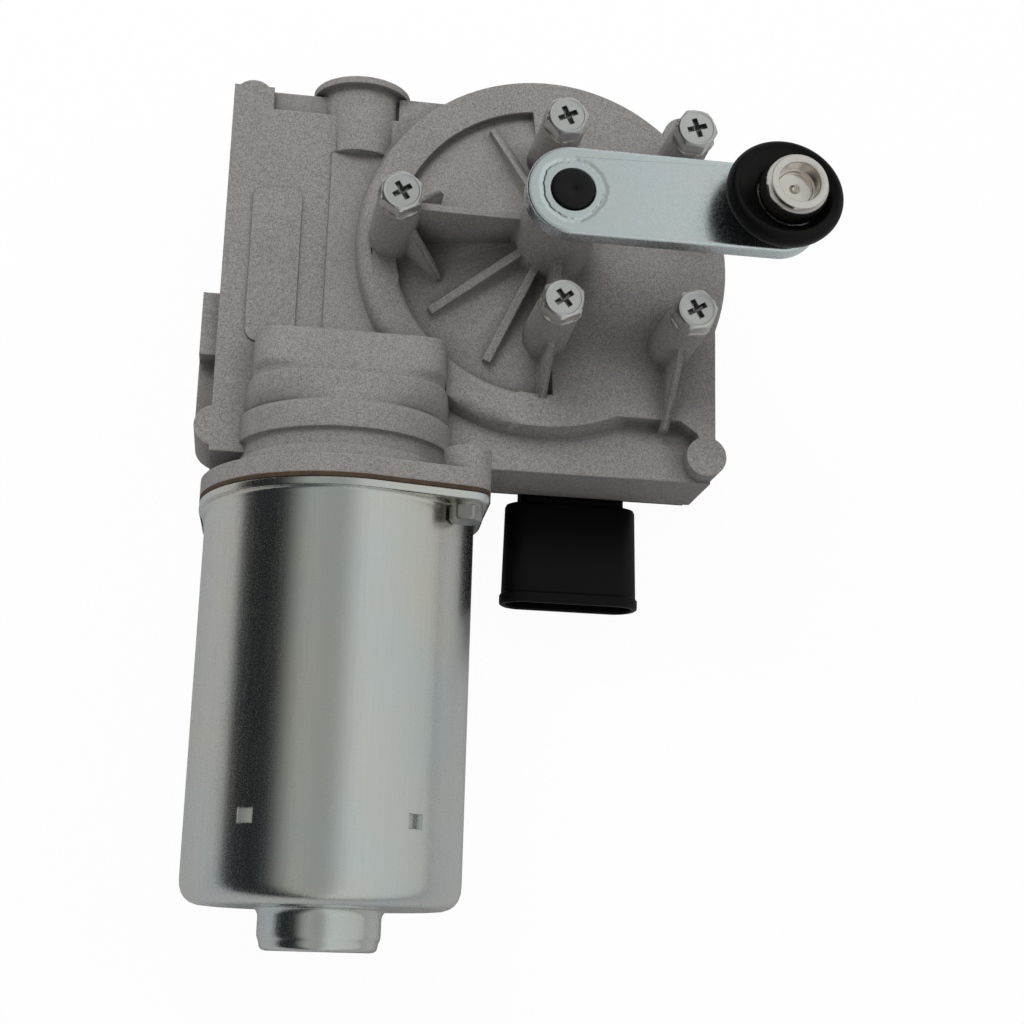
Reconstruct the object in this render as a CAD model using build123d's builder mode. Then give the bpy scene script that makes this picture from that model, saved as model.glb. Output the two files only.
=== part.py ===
from build123d import *
import math
import os

os.makedirs("parts", exist_ok=True)

# Wiper motor with a worm gear case, an output crank and a rear electronics cover.
# Frame: +Z is the output shaft, +Y runs from the motor can to the top of the gear case,
# +X runs along the crank at rest. The origin is on the output axis, level with the
# seats of the five mounting screws. All sizes are in millimetres.

# Gear case walls, from the wheel well up to the lid and from the worm tunnel down to the back
ceiling_gap = 3.4
lid_thickness = 4.8
case_step = 5.0
hood_cover = 3.9
case_wall = 3.0

# Gear case outline
disc_radius = 47.8
disc_draft = 1.8
case_left = 79.5
case_right = 43.7
case_top = 40.0
case_bottom = 56.3
lobe_radius = 5.0
lobe_heading = 44.8
lobe_reach = 1.84
top_lobe_rise = 1.5
corner_lobe_inset = 2.2
corner_lobe_rise = 0.6
low_lobe_inset = 1.0
low_lobe_rise = 1.3
corner_edge = 42.0
corner_start = 17.5
corner_slant_from = 6.7
corner_slant_to = 2.4
corner_slant_drop = 3.0
ledge_depth = 2.6
ledge_width = 6.0

# Recessed sector of the lid, its cone floor and the ribs
recess_radius = 37.8
recess_depth = 2.6
recess_from = 96.0
recess_to = 274.0
cone_top = 17.5
rib_thickness = 2.0
gusset_drop = 4.0
panel_width = 12.0
panel_offset = 20.0
panel_top = 12.6
panel_corner = 3.0
panel_height = 0.6
strip_half = 7.2
strip_rise = 0.65
lug_reach = 4.0

# Mounting screws, M6 with a hexagon head and a cross recess
screw_pitch_y = 23.2
screw_near_x = 31.7
screw_far_x = 38.7
boss_radius = 5.2
boss_draft = 0.6
screw_radius = 3.0
screw_grip = 14.0
screw_flange = 0.8
screw_head_across = 9.4
screw_head = 4.2
cross_width = 1.2
cross_span = 4.8
cross_depth = 2.4

# Output shaft, tower and crank
shaft_radius = 5.0
shaft_clearance = 0.03
shaft_proud = 0.7
bush_wall = 2.0
bush_length = 9.0
tower_radius = 9.2
tower_top = 7.4
tower_foot_radius = 10.4
seal_height = 2.6
seal_clearance = 0.08
washer_thickness = 0.8
washer_play = 0.15
arm_radius = 10.8
arm_end_radius = 10.8
arm_thickness = 5.0
arm_low = 8.8
crank_radius = 49.3
coin_radius = 7.9
coin_width = 0.8
coin_depth = 0.3

# Ball stud and its rubber cap
ball_diameter = 16.0
ball_centre_z = 24.2
ball_flat_z = 28.8
ball_hole_radius = 4.8
ball_hole_depth = 4.5
ball_neck_radius = 5.0
rivet_radius = 4.0
rivet_head_radius = 6.0
rivet_head = 2.0
cap_foot_radius = 9.8
cap_radius = 13.8
cap_low = 6.8
cap_band = 1.8
cap_height = 10.4
cap_rim_radius = 12.9
cap_wall = 1.8
cap_lip_gap = 0.3

# Worm drive
centre_distance = 47.0
worm_depth = 35.0
worm_pitch_radius = 5.0
wheel_teeth = 56
tooth_addendum = 1.2
tip_clearance = 0.3
worm_tooth = 2.05
wheel_tooth = 2.15
pressure_angle = 20.0
worm_turns = 8
worm_heading = 180.0
wheel_face = 7.6
wheel_web = 3.0
wheel_rim = 3.6
wheel_spokes = 8
spoke_width = 2.6
well_clearance = 1.2
hub_radius = 14.0
hub_collar_radius = 9.0
hub_key_radius = 1.6
hub_keys = 6
magnet_ring_radius = 8.0
magnet_ring_height = 3.0
shaft_tail = 1.2
sensor_height = 7.2
sensor_gap = 1.25

# Motor shaft and armature
motor_shaft_radius = 4.0
journal_radius = 3.4
shaft_front = 36.0
worm_blank = 3.2
worm_bore_gap = 0.7
air_gap = 1.4
stack_front = -96.0
stack_length = 52.0
stack_slots = 12
slot_width = 2.4
slot_depth = 11.0
coil_drop = 1.9
coil_overhang = 8.0
coil_bore = 8.0
commutator_radius = 10.5
commutator_front = -71.0
commutator_length = 16.0
commutator_slit = 0.6
commutator_slit_depth = 1.2

# Neck between the gear case and the can
neck_block_half = 23.3
neck_block_top = -28.0
neck_block_end = -40.8
neck_block_front = 14.6
neck_block_rise = 11.2
collar_start = -39.6
collar_radius = 25.2
lip_start = -46.9
lip_radius = 26.5
waist_start = -54.0
waist_radius = 25.1
flare_start = -58.0
collar_edge = 0.8
flange_front = -62.6
flange_lip = 1.6
joint_y = -66.9
neck_bore = 22.0
neck_bore_depth = 11.0
bearing_radius = 9.5
bearing_length = 7.0
neck_clearance = 0.6

# Worm end of the case
hood_radius = 10.3
hood_start = 23.6
hood_end = 41.0
hood_rim_radius = 12.4
hood_rim = 1.7
end_seat_radius = 6.2
end_seat_start = 23.0
end_bush_length = 9.0
thrust_pad = 2.0
thrust_play = 0.1

# Steel can and its fixings
gasket_thickness = 1.0
can_radius = 32.4
can_wall = 1.8
can_flange = 2.0
can_end_gap = 6.0
can_corner = 6.0
cup_radius = 14.2
cup_depth = 9.6
cup_corner = 3.5
cup_step_radius = 9.5
cup_step = 0.8
thrust_disc = 2.9
ear_offset = 3.9
ear_radius = 5.6
ear_angle = 40.0
bolt_radius = 2.0
bolt_head_across = 7.0
bolt_head = 4.0
bolt_boss_length = 5.6
bolt_depth = 8.5
dent_height_above_end = 18.8
dent_width = 3.2
dent_height = 4.4
dent_depth = 0.7
dent_angle = 35.5
magnet_thickness = 5.8
magnet_arc = 130.0
magnet_overhang = 3.0
cup_bush_radius = 8.0
cup_bush_length = 7.0
plug_slot = 1.6
clip_thickness = 1.0

# Brush gear
plate_y = -74.0
plate_thickness = 2.4
plate_bore = 13.5
plate_rim_gap = 0.2
post_radius = 2.2
post_inset = 4.6
brush_width = 6.0
brush_height = 5.0
brush_length = 9.0
brush_gap = 0.08
brush_fit = 0.1
brush_box_wall = 0.8
brush_box_inset = 3.1
spring_wire = 0.3
spring_radius = 1.8
spring_turns = 4
choke_radius = 2.0
choke_length = 10.0
choke_offset = 18.0

# Rear cover, board and connector
seal_thickness = 0.8
seal_width = 2.2
cover_flange = 3.0
cover_flange_inset = 0.8
cover_inset = 4.4
cover_depth = 14.4
cover_wall = 2.2
cover_floor = 2.4
cover_screw_radius = 1.8
cover_screw_grip = 9.0
cover_screw_head_radius = 3.2
cover_screw_head = 2.2
post_outer_radius = 3.0
screw_recess_gap = 0.3
board_thickness = 1.6
board_gap = 7.0
board_screw_radius = 1.2
board_screw_head = 1.2
board_screw_head_radius = 2.2
board_screw_grip = 6.0
can_part_radius = 4.5
can_part_height = 7.0
socket_centre_x = 13.6
socket_width = 36.0
socket_depth = 12.2
socket_wall = 1.6
socket_gap = 1.1
socket_length = 26.6
socket_back_wall = 4.8
socket_neck_width = 27.0
socket_neck_depth = 8.0
socket_inner_step = 2.1
pin_bend = 4.0
pin_count = 4
pin_pitch = 6.4
pin_width = 2.2
pin_thickness = 0.8
pin_set_back = 10.2

# Values that follow from the sizes above
worm_x = -centre_distance
worm_z = -worm_depth
wheel_low = worm_z - wheel_face / 2
wheel_high = worm_z + wheel_face / 2
ceiling_z = wheel_high + ceiling_gap
disc_z = ceiling_z + lid_thickness
shoulder_z = disc_z - case_step
back_z = worm_z - hood_radius - hood_cover
recess_z = disc_z - recess_depth
gusset_top = -gusset_drop
wheel_pitch_radius = centre_distance - worm_pitch_radius
gear_module = 2 * wheel_pitch_radius / wheel_teeth
worm_lead = math.pi * gear_module
wheel_tip_radius = wheel_pitch_radius + tooth_addendum
wheel_root_radius = wheel_pitch_radius - tooth_addendum - tip_clearance
worm_tip_radius = worm_pitch_radius + tooth_addendum
worm_root_radius = worm_pitch_radius - tooth_addendum - tip_clearance
worm_length = worm_turns * worm_lead
well_radius = wheel_tip_radius + well_clearance
worm_bore_radius = worm_tip_radius + worm_bore_gap
tower_bore_radius = shaft_radius + bush_wall
arm_top = arm_low + arm_thickness
ball_radius = ball_diameter / 2
hub_top = ceiling_z - washer_play - washer_thickness
stack_back = stack_front - stack_length
can_bottom = stack_back - coil_overhang - can_end_gap
cup_bottom = can_bottom - cup_depth
commutator_back = commutator_front - commutator_length
bearing_back = joint_y + neck_bore_depth
bearing_front = bearing_back + bearing_length
hood_tip = hood_end + hood_rim
can_top = joint_y - gasket_thickness
can_inner_radius = can_radius - can_wall
flange_radius = can_radius + flange_lip
ear_circle = can_radius + ear_offset
stack_radius = can_inner_radius - magnet_thickness - air_gap
coil_radius = stack_radius - coil_drop
post_circle = can_inner_radius - post_inset
brush_box_end = can_inner_radius - brush_box_inset
cup_floor = cup_bottom + can_wall
shaft_back = cup_floor + cup_step + thrust_disc + thrust_play
dent_y = can_bottom + dent_height_above_end
cover_top = back_z - seal_thickness
cover_back = cover_top - cover_depth
board_z = cover_back + cover_floor + board_gap
board_top = board_z + board_thickness
shaft_low = board_top + sensor_height + sensor_gap
hub_low = shaft_low + shaft_tail + magnet_ring_height
hub_height = hub_top - hub_low
socket_z = cover_top - socket_depth / 2
socket_shoulder = -case_bottom - socket_gap
socket_mouth = socket_shoulder - socket_length
socket_floor = socket_shoulder - socket_back_wall
socket_inside = -case_bottom + cover_inset + cover_wall + socket_inner_step
pin_riser = socket_inside + pin_bend
pin_tip = socket_mouth + pin_set_back
neck_chord = math.sqrt(lip_radius**2 - (worm_z - cover_top) ** 2)
brush_y = plate_y - brush_box_wall - brush_fit - brush_height / 2
brush_tip = commutator_radius + brush_gap
left_screw = (-screw_far_x, 0)
low_screw = (0, -screw_pitch_y)
low_right_screw = (screw_near_x, -screw_pitch_y)
screw_places = [
    left_screw,
    (0, screw_pitch_y),
    (screw_near_x, screw_pitch_y),
    low_screw,
    low_right_screw,
]
lobe_places = [
    (-case_left + lobe_radius, case_top - lobe_radius + top_lobe_rise),
    (
        (disc_radius + lobe_reach) * math.cos(math.radians(lobe_heading)),
        (disc_radius + lobe_reach) * math.sin(math.radians(lobe_heading)),
    ),
    (case_right - corner_lobe_inset, -case_bottom + lobe_radius + corner_lobe_rise),
    (-case_left + low_lobe_inset, -case_bottom + lobe_radius + low_lobe_rise),
]
corner_lobe = lobe_places[2]
worm_axis = Axis((worm_x, 0, worm_z), (0, 1, 0))
worm_side = Plane(origin=(worm_x, 0, worm_z), x_dir=(1, 0, 0), z_dir=(0, 0, 1))
board_corners = [
    (-40.0, -20.0),
    (-40.0, 31.0),
    (20.0, 31.0),
    (34.0, 19.0),
    (35.5, -41.0),
    (31.0, -47.0),
    (-10.5, -47.0),
    (-10.5, -20.0),
]
board_screw_places = [(-35.0, -15.0), (-35.0, 26.0), (29.0, 16.0), (-6.5, -43.0)]
board_blocks = [
    # x, y, width, length, height
    (0.0, 0.0, 8.0, 8.0, sensor_height),
    (-24.0, 14.0, 16.0, 12.0, 7.5),
    (12.0, -24.0, 10.0, 10.0, 1.8),
    (-20.0, -8.0, 7.0, 9.0, 1.6),
    (20.0, 4.0, 6.0, 5.0, 1.4),
    (2.0, 22.0, 9.0, 6.0, 1.6),
]
board_cans = [(26.0, -26.0), (30.0, -12.0)]
ear_offsets = [
    (
        ear_circle * math.cos(math.radians(turn)),
        -ear_circle * math.sin(math.radians(turn)),
    )
    for turn in (ear_angle, ear_angle + 180)
]


def across_plane(y):
    """A plane square to the motor axis, centred on it, with its normal along +Y."""
    return Plane(origin=(worm_x, y, worm_z), x_dir=(1, 0, 0), z_dir=(0, 1, 0))


def section(plane, points):
    """A closed straight-sided section on a plane."""
    with BuildSketch(plane) as drawn:
        with BuildLine():
            Polyline(*points, close=True)
        make_face()
    return drawn.sketch


def turned(points):
    """A section of radius and Y, ready to revolve about the motor axis."""
    return section(worm_side, points)


def upright(points):
    """A section of radius and Z, ready to revolve about the output axis."""
    return section(Plane.XZ, points)


def pot(radius, top, bottom, corner):
    """Half the section of a round pot on the motor axis, with a rounded bottom corner."""
    with BuildSketch(worm_side) as drawn:
        with Locations((0, bottom)):
            Rectangle(radius, top - bottom, align=(Align.MIN, Align.MIN))
        fillet(drawn.vertices().sort_by_distance((radius, bottom))[0], corner)
    return drawn.sketch


def gusset(start, heading, near, reach, top_z, end_z):
    """The side of a rib that leaves a point at a heading and slopes to its end."""
    across = Vector(math.cos(math.radians(heading)), math.sin(math.radians(heading)), 0)
    side = Plane(origin=(start[0], start[1], 0), x_dir=across, z_dir=across.cross(Vector(0, 0, 1)))
    return section(side, [(near, shoulder_z), (near, top_z), (reach, end_z), (reach, shoulder_z)])


def save(piece, name):
    """Labels a finished piece and writes it."""
    piece.part.label = name
    export_step(piece.part, "parts/" + name + ".step")


# Outline of the case at its parting plane, shared by the case, its seal and the cover
with BuildSketch() as case_outline:
    with Locations((-case_left, -case_bottom)):
        Rectangle(case_left + case_right, case_bottom, align=(Align.MIN, Align.MIN))
    with Locations((-case_left, 0)):
        Rectangle(case_left - disc_radius * 0.55, case_top, align=(Align.MIN, Align.MIN))
    Circle(disc_radius)
    with Locations(*lobe_places):
        Circle(lobe_radius)

with BuildSketch() as cover_outline:
    add(case_outline.sketch)
    with Locations((worm_x, -case_bottom - 2 * lobe_radius)):
        Rectangle(
            2 * (neck_chord + neck_clearance),
            case_bottom + 2 * lobe_radius + collar_start + neck_clearance,
            align=(Align.CENTER, Align.MIN),
            mode=Mode.SUBTRACT,
        )

# Rim of the cover, and its pan with room for the four screw heads
with BuildSketch() as rim_outline:
    offset(cover_outline.sketch, amount=-cover_flange_inset)

with BuildSketch() as pan_reach:
    add(cover_outline.sketch)
    with Locations((worm_x, collar_start + neck_clearance)):
        Rectangle(case_left, case_bottom, align=(Align.MAX, Align.MAX), mode=Mode.SUBTRACT)

with BuildSketch() as pan_outline:
    offset(pan_reach.sketch, amount=-cover_inset)
    with Locations(*lobe_places):
        Circle(cover_screw_head_radius + screw_recess_gap, mode=Mode.SUBTRACT)

# Flange shape shared by the case, the gasket and the can
with BuildSketch() as flange_outline:
    Circle(flange_radius)
    with Locations(*ear_offsets):
        Circle(ear_radius)
    make_hull()

# Cast gear case
tower_ribs = [
    # heading, far end, height at the tower, height at the far end
    (180.0, screw_far_x, -3.3, -3.3),
    (213.0, 34.0, -9.0, -22.5),
    (245.0, 33.5, -9.5, -22.5),
    (114.0, 34.5, -7.5, -22.6),
    (270.0, screw_pitch_y, -5.0, -5.0),
    (90.0, screw_pitch_y, -5.0, -5.0),
]
boss_gussets = [
    # screw, heading, far end, height at the far end
    (left_screw, -40.0, 16.0, -21.5),
    (left_screw, 43.0, 15.5, -17.0),
    (low_screw, 270.0, 15.5, -22.9),
    (low_right_screw, 268.0, 21.2, -23.6),
    (low_right_screw, 80.0, 10.5, -14.0),
]
side_lugs = [
    # top, bottom, level
    (-15.5, -31.5, -30.5),
    (-31.0, -47.5, -36.0),
]
with BuildPart() as gear_housing:
    # Shoulder body, and the lower ledge along its top edge
    with BuildSketch(Plane.XY.offset(back_z)):
        add(case_outline.sketch)
    extrude(amount=shoulder_z - back_z)
    with BuildSketch(Plane.XY.offset(shoulder_z)):
        with Locations((lobe_places[0][0] + lobe_radius, case_top)):
            Rectangle(case_left - disc_radius, ledge_width, align=(Align.MIN, Align.MAX))
    extrude(amount=-ledge_depth, mode=Mode.SUBTRACT)

    # Round lid over the worm wheel, with its raised corners
    revolve(
        upright(
            [
                (0, back_z),
                (disc_radius, back_z),
                (disc_radius, shoulder_z),
                (disc_radius - disc_draft, disc_z),
                (0, disc_z),
            ]
        ),
        axis=Axis.Z,
    )
    with BuildSketch(Plane.XY.offset(shoulder_z)):
        with BuildLine():
            Polyline(
                (0, 0),
                (case_right, -screw_pitch_y / 2),
                (case_right, corner_lobe[1]),
                (corner_lobe[0], corner_lobe[1]),
                (corner_lobe[0] - corner_slant_to, -corner_edge - corner_slant_drop),
                (corner_lobe[0] - corner_slant_from, -corner_edge),
                (corner_start, -corner_edge),
                close=True,
            )
        make_face()
        with BuildLine():
            Polyline(
                (0, 0),
                (screw_near_x + boss_radius, screw_pitch_y),
                (lobe_places[1][0] + lobe_radius, lobe_places[1][1]),
                (lobe_places[1][0] - lobe_radius, lobe_places[1][1]),
                close=True,
            )
        make_face()
        with Locations(lobe_places[1], corner_lobe):
            Circle(lobe_radius)
    extrude(amount=case_step)

    # Recess in the left half of the lid, its floor a cone that rises to the tower
    recess_start = Plane(
        origin=(0, 0, 0),
        x_dir=(math.cos(math.radians(recess_from)), math.sin(math.radians(recess_from)), 0),
        z_dir=(math.sin(math.radians(recess_from)), -math.cos(math.radians(recess_from)), 0),
    )
    revolve(
        section(recess_start, [(0, recess_z), (recess_radius, recess_z), (recess_radius, disc_z), (0, disc_z)]),
        axis=Axis.Z,
        revolution_arc=recess_to - recess_from,
        mode=Mode.SUBTRACT,
    )
    revolve(
        section(recess_start, [(0, recess_z), (recess_radius, recess_z), (tower_foot_radius, -cone_top), (0, -cone_top)]),
        axis=Axis.Z,
        revolution_arc=recess_to - recess_from,
    )

    # Tower round the output shaft and the five screw bosses
    revolve(
        upright([(0, recess_z), (tower_foot_radius, recess_z), (tower_radius, tower_top), (0, tower_top)]),
        axis=Axis.Z,
    )
    with Locations(*[(x, y, recess_z) for x, y in screw_places]):
        Cone(
            boss_radius + boss_draft,
            boss_radius,
            -recess_z,
            align=(Align.CENTER, Align.CENTER, Align.MIN),
        )

    # Ribs from the tower and gussets beside the bosses
    for heading, reach, top_z, end_z in tower_ribs:
        extrude(gusset((0, 0), heading, 0, reach, top_z, end_z), amount=rib_thickness / 2, both=True)
    for place, heading, reach, end_z in boss_gussets:
        extrude(
            gusset(place, heading, 0, reach, gusset_top, end_z),
            amount=rib_thickness / 2,
            both=True,
        )

    # Worm tunnel bulge, raised panel and side lugs on the left shoulder
    with BuildSketch(Plane.XY.offset(shoulder_z)):
        with Locations((worm_x, neck_block_top)):
            Rectangle(2 * strip_half, hood_start - neck_block_top, align=(Align.CENTER, Align.MIN))
    extrude(amount=strip_rise)
    with BuildSketch(Plane.XY.offset(shoulder_z)):
        with Locations((worm_x - panel_offset, (neck_block_top + panel_top) / 2)):
            RectangleRounded(panel_width, panel_top - neck_block_top, panel_corner)
    extrude(amount=panel_height)
    for top_y, low_y, lug_z in side_lugs:
        with BuildSketch(Plane.XY.offset(back_z)):
            with Locations((-case_left - lug_reach, low_y)):
                Rectangle(2 * lug_reach, top_y - low_y, align=(Align.MIN, Align.MIN))
        extrude(amount=lug_z - back_z)

    # Hood round the worm end, with its rim
    with BuildSketch(across_plane(hood_start)):
        Circle(hood_radius)
    extrude(amount=hood_end - hood_start)
    with BuildSketch(across_plane(hood_end)):
        Circle(hood_rim_radius)
    extrude(amount=hood_rim)

    # Neck block, turned neck and the flange for the can
    extrude(
        section(
            Plane(origin=(worm_x, 0, 0), x_dir=(0, 1, 0), z_dir=(1, 0, 0)),
            [
                (neck_block_top, back_z),
                (neck_block_top, -neck_block_front),
                (neck_block_end, -neck_block_rise),
                (neck_block_end, back_z),
            ],
        ),
        amount=neck_block_half,
        both=True,
    )
    revolve(
        turned(
            [
                (0, collar_start),
                (collar_radius, collar_start),
                (collar_radius, lip_start),
                (lip_radius - collar_edge, lip_start),
                (lip_radius, lip_start - collar_edge),
                (lip_radius, waist_start + collar_edge),
                (waist_radius, waist_start),
                (waist_radius, flare_start),
                (lip_radius, flange_front),
                (lip_radius, joint_y),
                (0, joint_y),
            ]
        ),
        axis=worm_axis,
    )
    with BuildSketch(across_plane(joint_y)):
        add(flange_outline.sketch)
    extrude(amount=flange_front - joint_y)
    with BuildSketch(across_plane(joint_y)):
        with Locations(*ear_offsets):
            Circle(ear_radius)
    extrude(amount=flange_front - joint_y + bolt_boss_length)

    # Wheel well, back pockets and the bores along both axes
    with BuildSketch(Plane.XY.offset(back_z)):
        Circle(well_radius)
    extrude(amount=ceiling_z - back_z, mode=Mode.SUBTRACT)
    with BuildSketch(Plane.XY.offset(back_z)):
        with Locations((case_right - case_wall, -case_bottom + case_wall)):
            Rectangle(case_right + lip_radius / 2, case_bottom / 2, align=(Align.MAX, Align.MIN))
        with Locations((-case_left + case_wall, case_top - 2 * lobe_radius)):
            Rectangle(
                case_left - case_wall + worm_x - hood_radius,
                case_top - 2 * lobe_radius - neck_block_top - case_wall,
                align=(Align.MIN, Align.MAX),
            )
    extrude(amount=shoulder_z - case_wall - ledge_depth - back_z, mode=Mode.SUBTRACT)
    with BuildSketch(Plane.XY.offset(ceiling_z)):
        Circle(tower_bore_radius)
    extrude(amount=tower_top - ceiling_z, mode=Mode.SUBTRACT)
    with BuildSketch(across_plane(bearing_back)):
        Circle(neck_bore)
    extrude(amount=joint_y - bearing_back, mode=Mode.SUBTRACT)
    with BuildSketch(across_plane(bearing_back)):
        Circle(bearing_radius)
    extrude(amount=bearing_length, mode=Mode.SUBTRACT)
    with BuildSketch(across_plane(bearing_front)):
        Circle(worm_bore_radius)
    extrude(amount=end_seat_start - bearing_front, mode=Mode.SUBTRACT)
    with BuildSketch(across_plane(end_seat_start)):
        Circle(end_seat_radius)
    extrude(amount=hood_tip - end_seat_start, mode=Mode.SUBTRACT)

    # Screw and bolt holes
    with Locations(*[(x, y, -screw_grip) for x, y in screw_places]):
        Cylinder(screw_radius, screw_grip, align=(Align.CENTER, Align.CENTER, Align.MIN), mode=Mode.SUBTRACT)
    with BuildSketch(across_plane(joint_y)):
        with Locations(*ear_offsets):
            Circle(bolt_radius)
    extrude(amount=bolt_depth, mode=Mode.SUBTRACT)
    with Locations(*[(x, y, back_z) for x, y in lobe_places]):
        Cylinder(
            cover_screw_radius,
            cover_screw_grip,
            align=(Align.CENTER, Align.CENTER, Align.MIN),
            mode=Mode.SUBTRACT,
        )
save(gear_housing, "gear_housing")

# Sintered bushes and the lip seal in the tower
with BuildPart() as shaft_bush_lower:
    with BuildSketch(Plane.XY.offset(ceiling_z)):
        Circle(tower_bore_radius)
        Circle(shaft_radius + shaft_clearance, mode=Mode.SUBTRACT)
    extrude(amount=bush_length)
save(shaft_bush_lower, "shaft_bush_lower")

with BuildPart() as shaft_bush_upper:
    with BuildSketch(Plane.XY.offset(tower_top - seal_height)):
        Circle(tower_bore_radius)
        Circle(shaft_radius + shaft_clearance, mode=Mode.SUBTRACT)
    extrude(amount=-bush_length)
save(shaft_bush_upper, "shaft_bush_upper")

with BuildPart() as shaft_seal:
    revolve(
        upright(
            [
                (shaft_radius + 2 * seal_clearance, tower_top - seal_height),
                (tower_bore_radius, tower_top - seal_height),
                (tower_bore_radius, tower_top),
                (shaft_radius + bush_wall / 2, tower_top),
                (shaft_radius + seal_clearance, tower_top - seal_height / 3),
            ]
        ),
        axis=Axis.Z,
    )
save(shaft_seal, "shaft_seal")

# Output shaft with a chamfered, centre-drilled end
with BuildPart() as output_shaft:
    with BuildSketch(Plane.XY.offset(shaft_low)):
        Circle(shaft_radius)
    extrude(amount=arm_top + shaft_proud - shaft_low)
    chamfer(output_shaft.edges().filter_by(GeomType.CIRCLE), shaft_proud / 2)
    with Locations((0, 0, arm_top + shaft_proud)):
        Cone(shaft_radius / 6, 0, shaft_radius / 6, rotation=(180, 0, 0), mode=Mode.SUBTRACT)
save(output_shaft, "output_shaft")

# Thrust washer under the tower and spacer washer under the crank
with BuildPart() as thrust_washer:
    with BuildSketch(Plane.XY.offset(hub_top)):
        Circle(hub_collar_radius)
        Circle(shaft_radius, mode=Mode.SUBTRACT)
    extrude(amount=washer_thickness)
save(thrust_washer, "thrust_washer")

with BuildPart() as spacer_washer:
    with BuildSketch(Plane.XY.offset(arm_low)):
        Circle(tower_bore_radius + bush_wall / 2)
        Circle(shaft_radius, mode=Mode.SUBTRACT)
    extrude(amount=-washer_thickness)
save(spacer_washer, "spacer_washer")

# Keyed hub that the plastic wheel is moulded round
with BuildSketch() as hub_outline:
    Circle(hub_radius)
    with PolarLocations(hub_radius, hub_keys):
        Circle(hub_key_radius, mode=Mode.SUBTRACT)

with BuildPart() as wheel_hub:
    with BuildSketch(Plane.XY.offset(wheel_low + wheel_web)):
        add(hub_outline.sketch)
    extrude(amount=wheel_web)
    with BuildSketch(Plane.XY.offset(hub_low)):
        Circle(hub_collar_radius)
    extrude(amount=hub_height)
    with BuildSketch(Plane.XY.offset(hub_low)):
        Circle(shaft_radius)
    extrude(amount=hub_height, mode=Mode.SUBTRACT)
save(wheel_hub, "wheel_hub")

# Worm wheel: one tooth gap of straight flanks, repeated, then lofted along the helix
tooth_pitch = 360.0 / wheel_teeth
flank = math.tan(math.radians(pressure_angle))
tip_half = wheel_tooth / 2 - tooth_addendum * flank
root_half = wheel_tooth / 2 + (wheel_pitch_radius - wheel_root_radius) * flank
helix_turn = math.degrees(wheel_face / 2 * worm_lead / (2 * math.pi * worm_pitch_radius) / wheel_pitch_radius)


def wheel_outline(turn):
    """The toothed outline at one level, with a tooth gap at the worm, turned along the helix."""
    points = []
    for tooth in range(wheel_teeth):
        middle = worm_heading + (tooth + 0.5) * tooth_pitch + turn
        for radius, half, side in (
            (wheel_root_radius, root_half, -1),
            (wheel_tip_radius, tip_half, -1),
            (wheel_tip_radius, tip_half, 1),
            (wheel_root_radius, root_half, 1),
        ):
            angle = math.radians(middle) + side * half / radius
            points.append((radius * math.cos(angle), radius * math.sin(angle)))
    return points


with BuildPart() as worm_wheel:
    for level, turn in ((wheel_low, -helix_turn), (wheel_high, helix_turn)):
        with BuildSketch(Plane.XY.offset(level)):
            with BuildLine():
                Polyline(*wheel_outline(turn), close=True)
            make_face()
    loft(ruled=True)
    web_low = wheel_low + wheel_web
    web_high = web_low + wheel_web
    for floor, roof in ((wheel_low, web_low), (web_high, wheel_high)):
        with BuildSketch(Plane.XY.offset(floor)):
            Circle(wheel_root_radius - wheel_rim)
            Circle(hub_radius + wheel_rim, mode=Mode.SUBTRACT)
            with PolarLocations(0, wheel_spokes):
                Rectangle(
                    wheel_root_radius,
                    spoke_width,
                    align=(Align.MIN, Align.CENTER),
                    mode=Mode.SUBTRACT,
                )
        extrude(amount=roof - floor, mode=Mode.SUBTRACT)
    with BuildSketch(Plane.XY.offset(web_low)):
        add(hub_outline.sketch)
    extrude(amount=wheel_web, mode=Mode.SUBTRACT)
    with BuildSketch(Plane.XY.offset(wheel_low)):
        Circle(hub_collar_radius)
    extrude(amount=wheel_face, mode=Mode.SUBTRACT)
save(worm_wheel, "worm_wheel")

# Ring magnet that the position sensor reads
with BuildPart() as position_magnet:
    with BuildSketch(Plane.XY.offset(hub_low)):
        Circle(magnet_ring_radius)
        Circle(shaft_radius, mode=Mode.SUBTRACT)
    extrude(amount=-magnet_ring_height)
save(position_magnet, "position_magnet")

# Crank arm
with BuildPart() as crank_arm:
    with BuildSketch(Plane.XY.offset(arm_low)):
        Circle(arm_radius)
        with Locations((crank_radius, 0)):
            Circle(arm_end_radius)
        make_hull()
        Circle(shaft_radius, mode=Mode.SUBTRACT)
        with Locations((crank_radius, 0)):
            Circle(rivet_radius, mode=Mode.SUBTRACT)
    extrude(amount=arm_thickness)
    with BuildSketch(Plane.XY.offset(arm_top)):
        Circle(coin_radius)
        Circle(coin_radius - coin_width, mode=Mode.SUBTRACT)
    extrude(amount=-coin_depth, mode=Mode.SUBTRACT)
save(crank_arm, "crank_arm")

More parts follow.
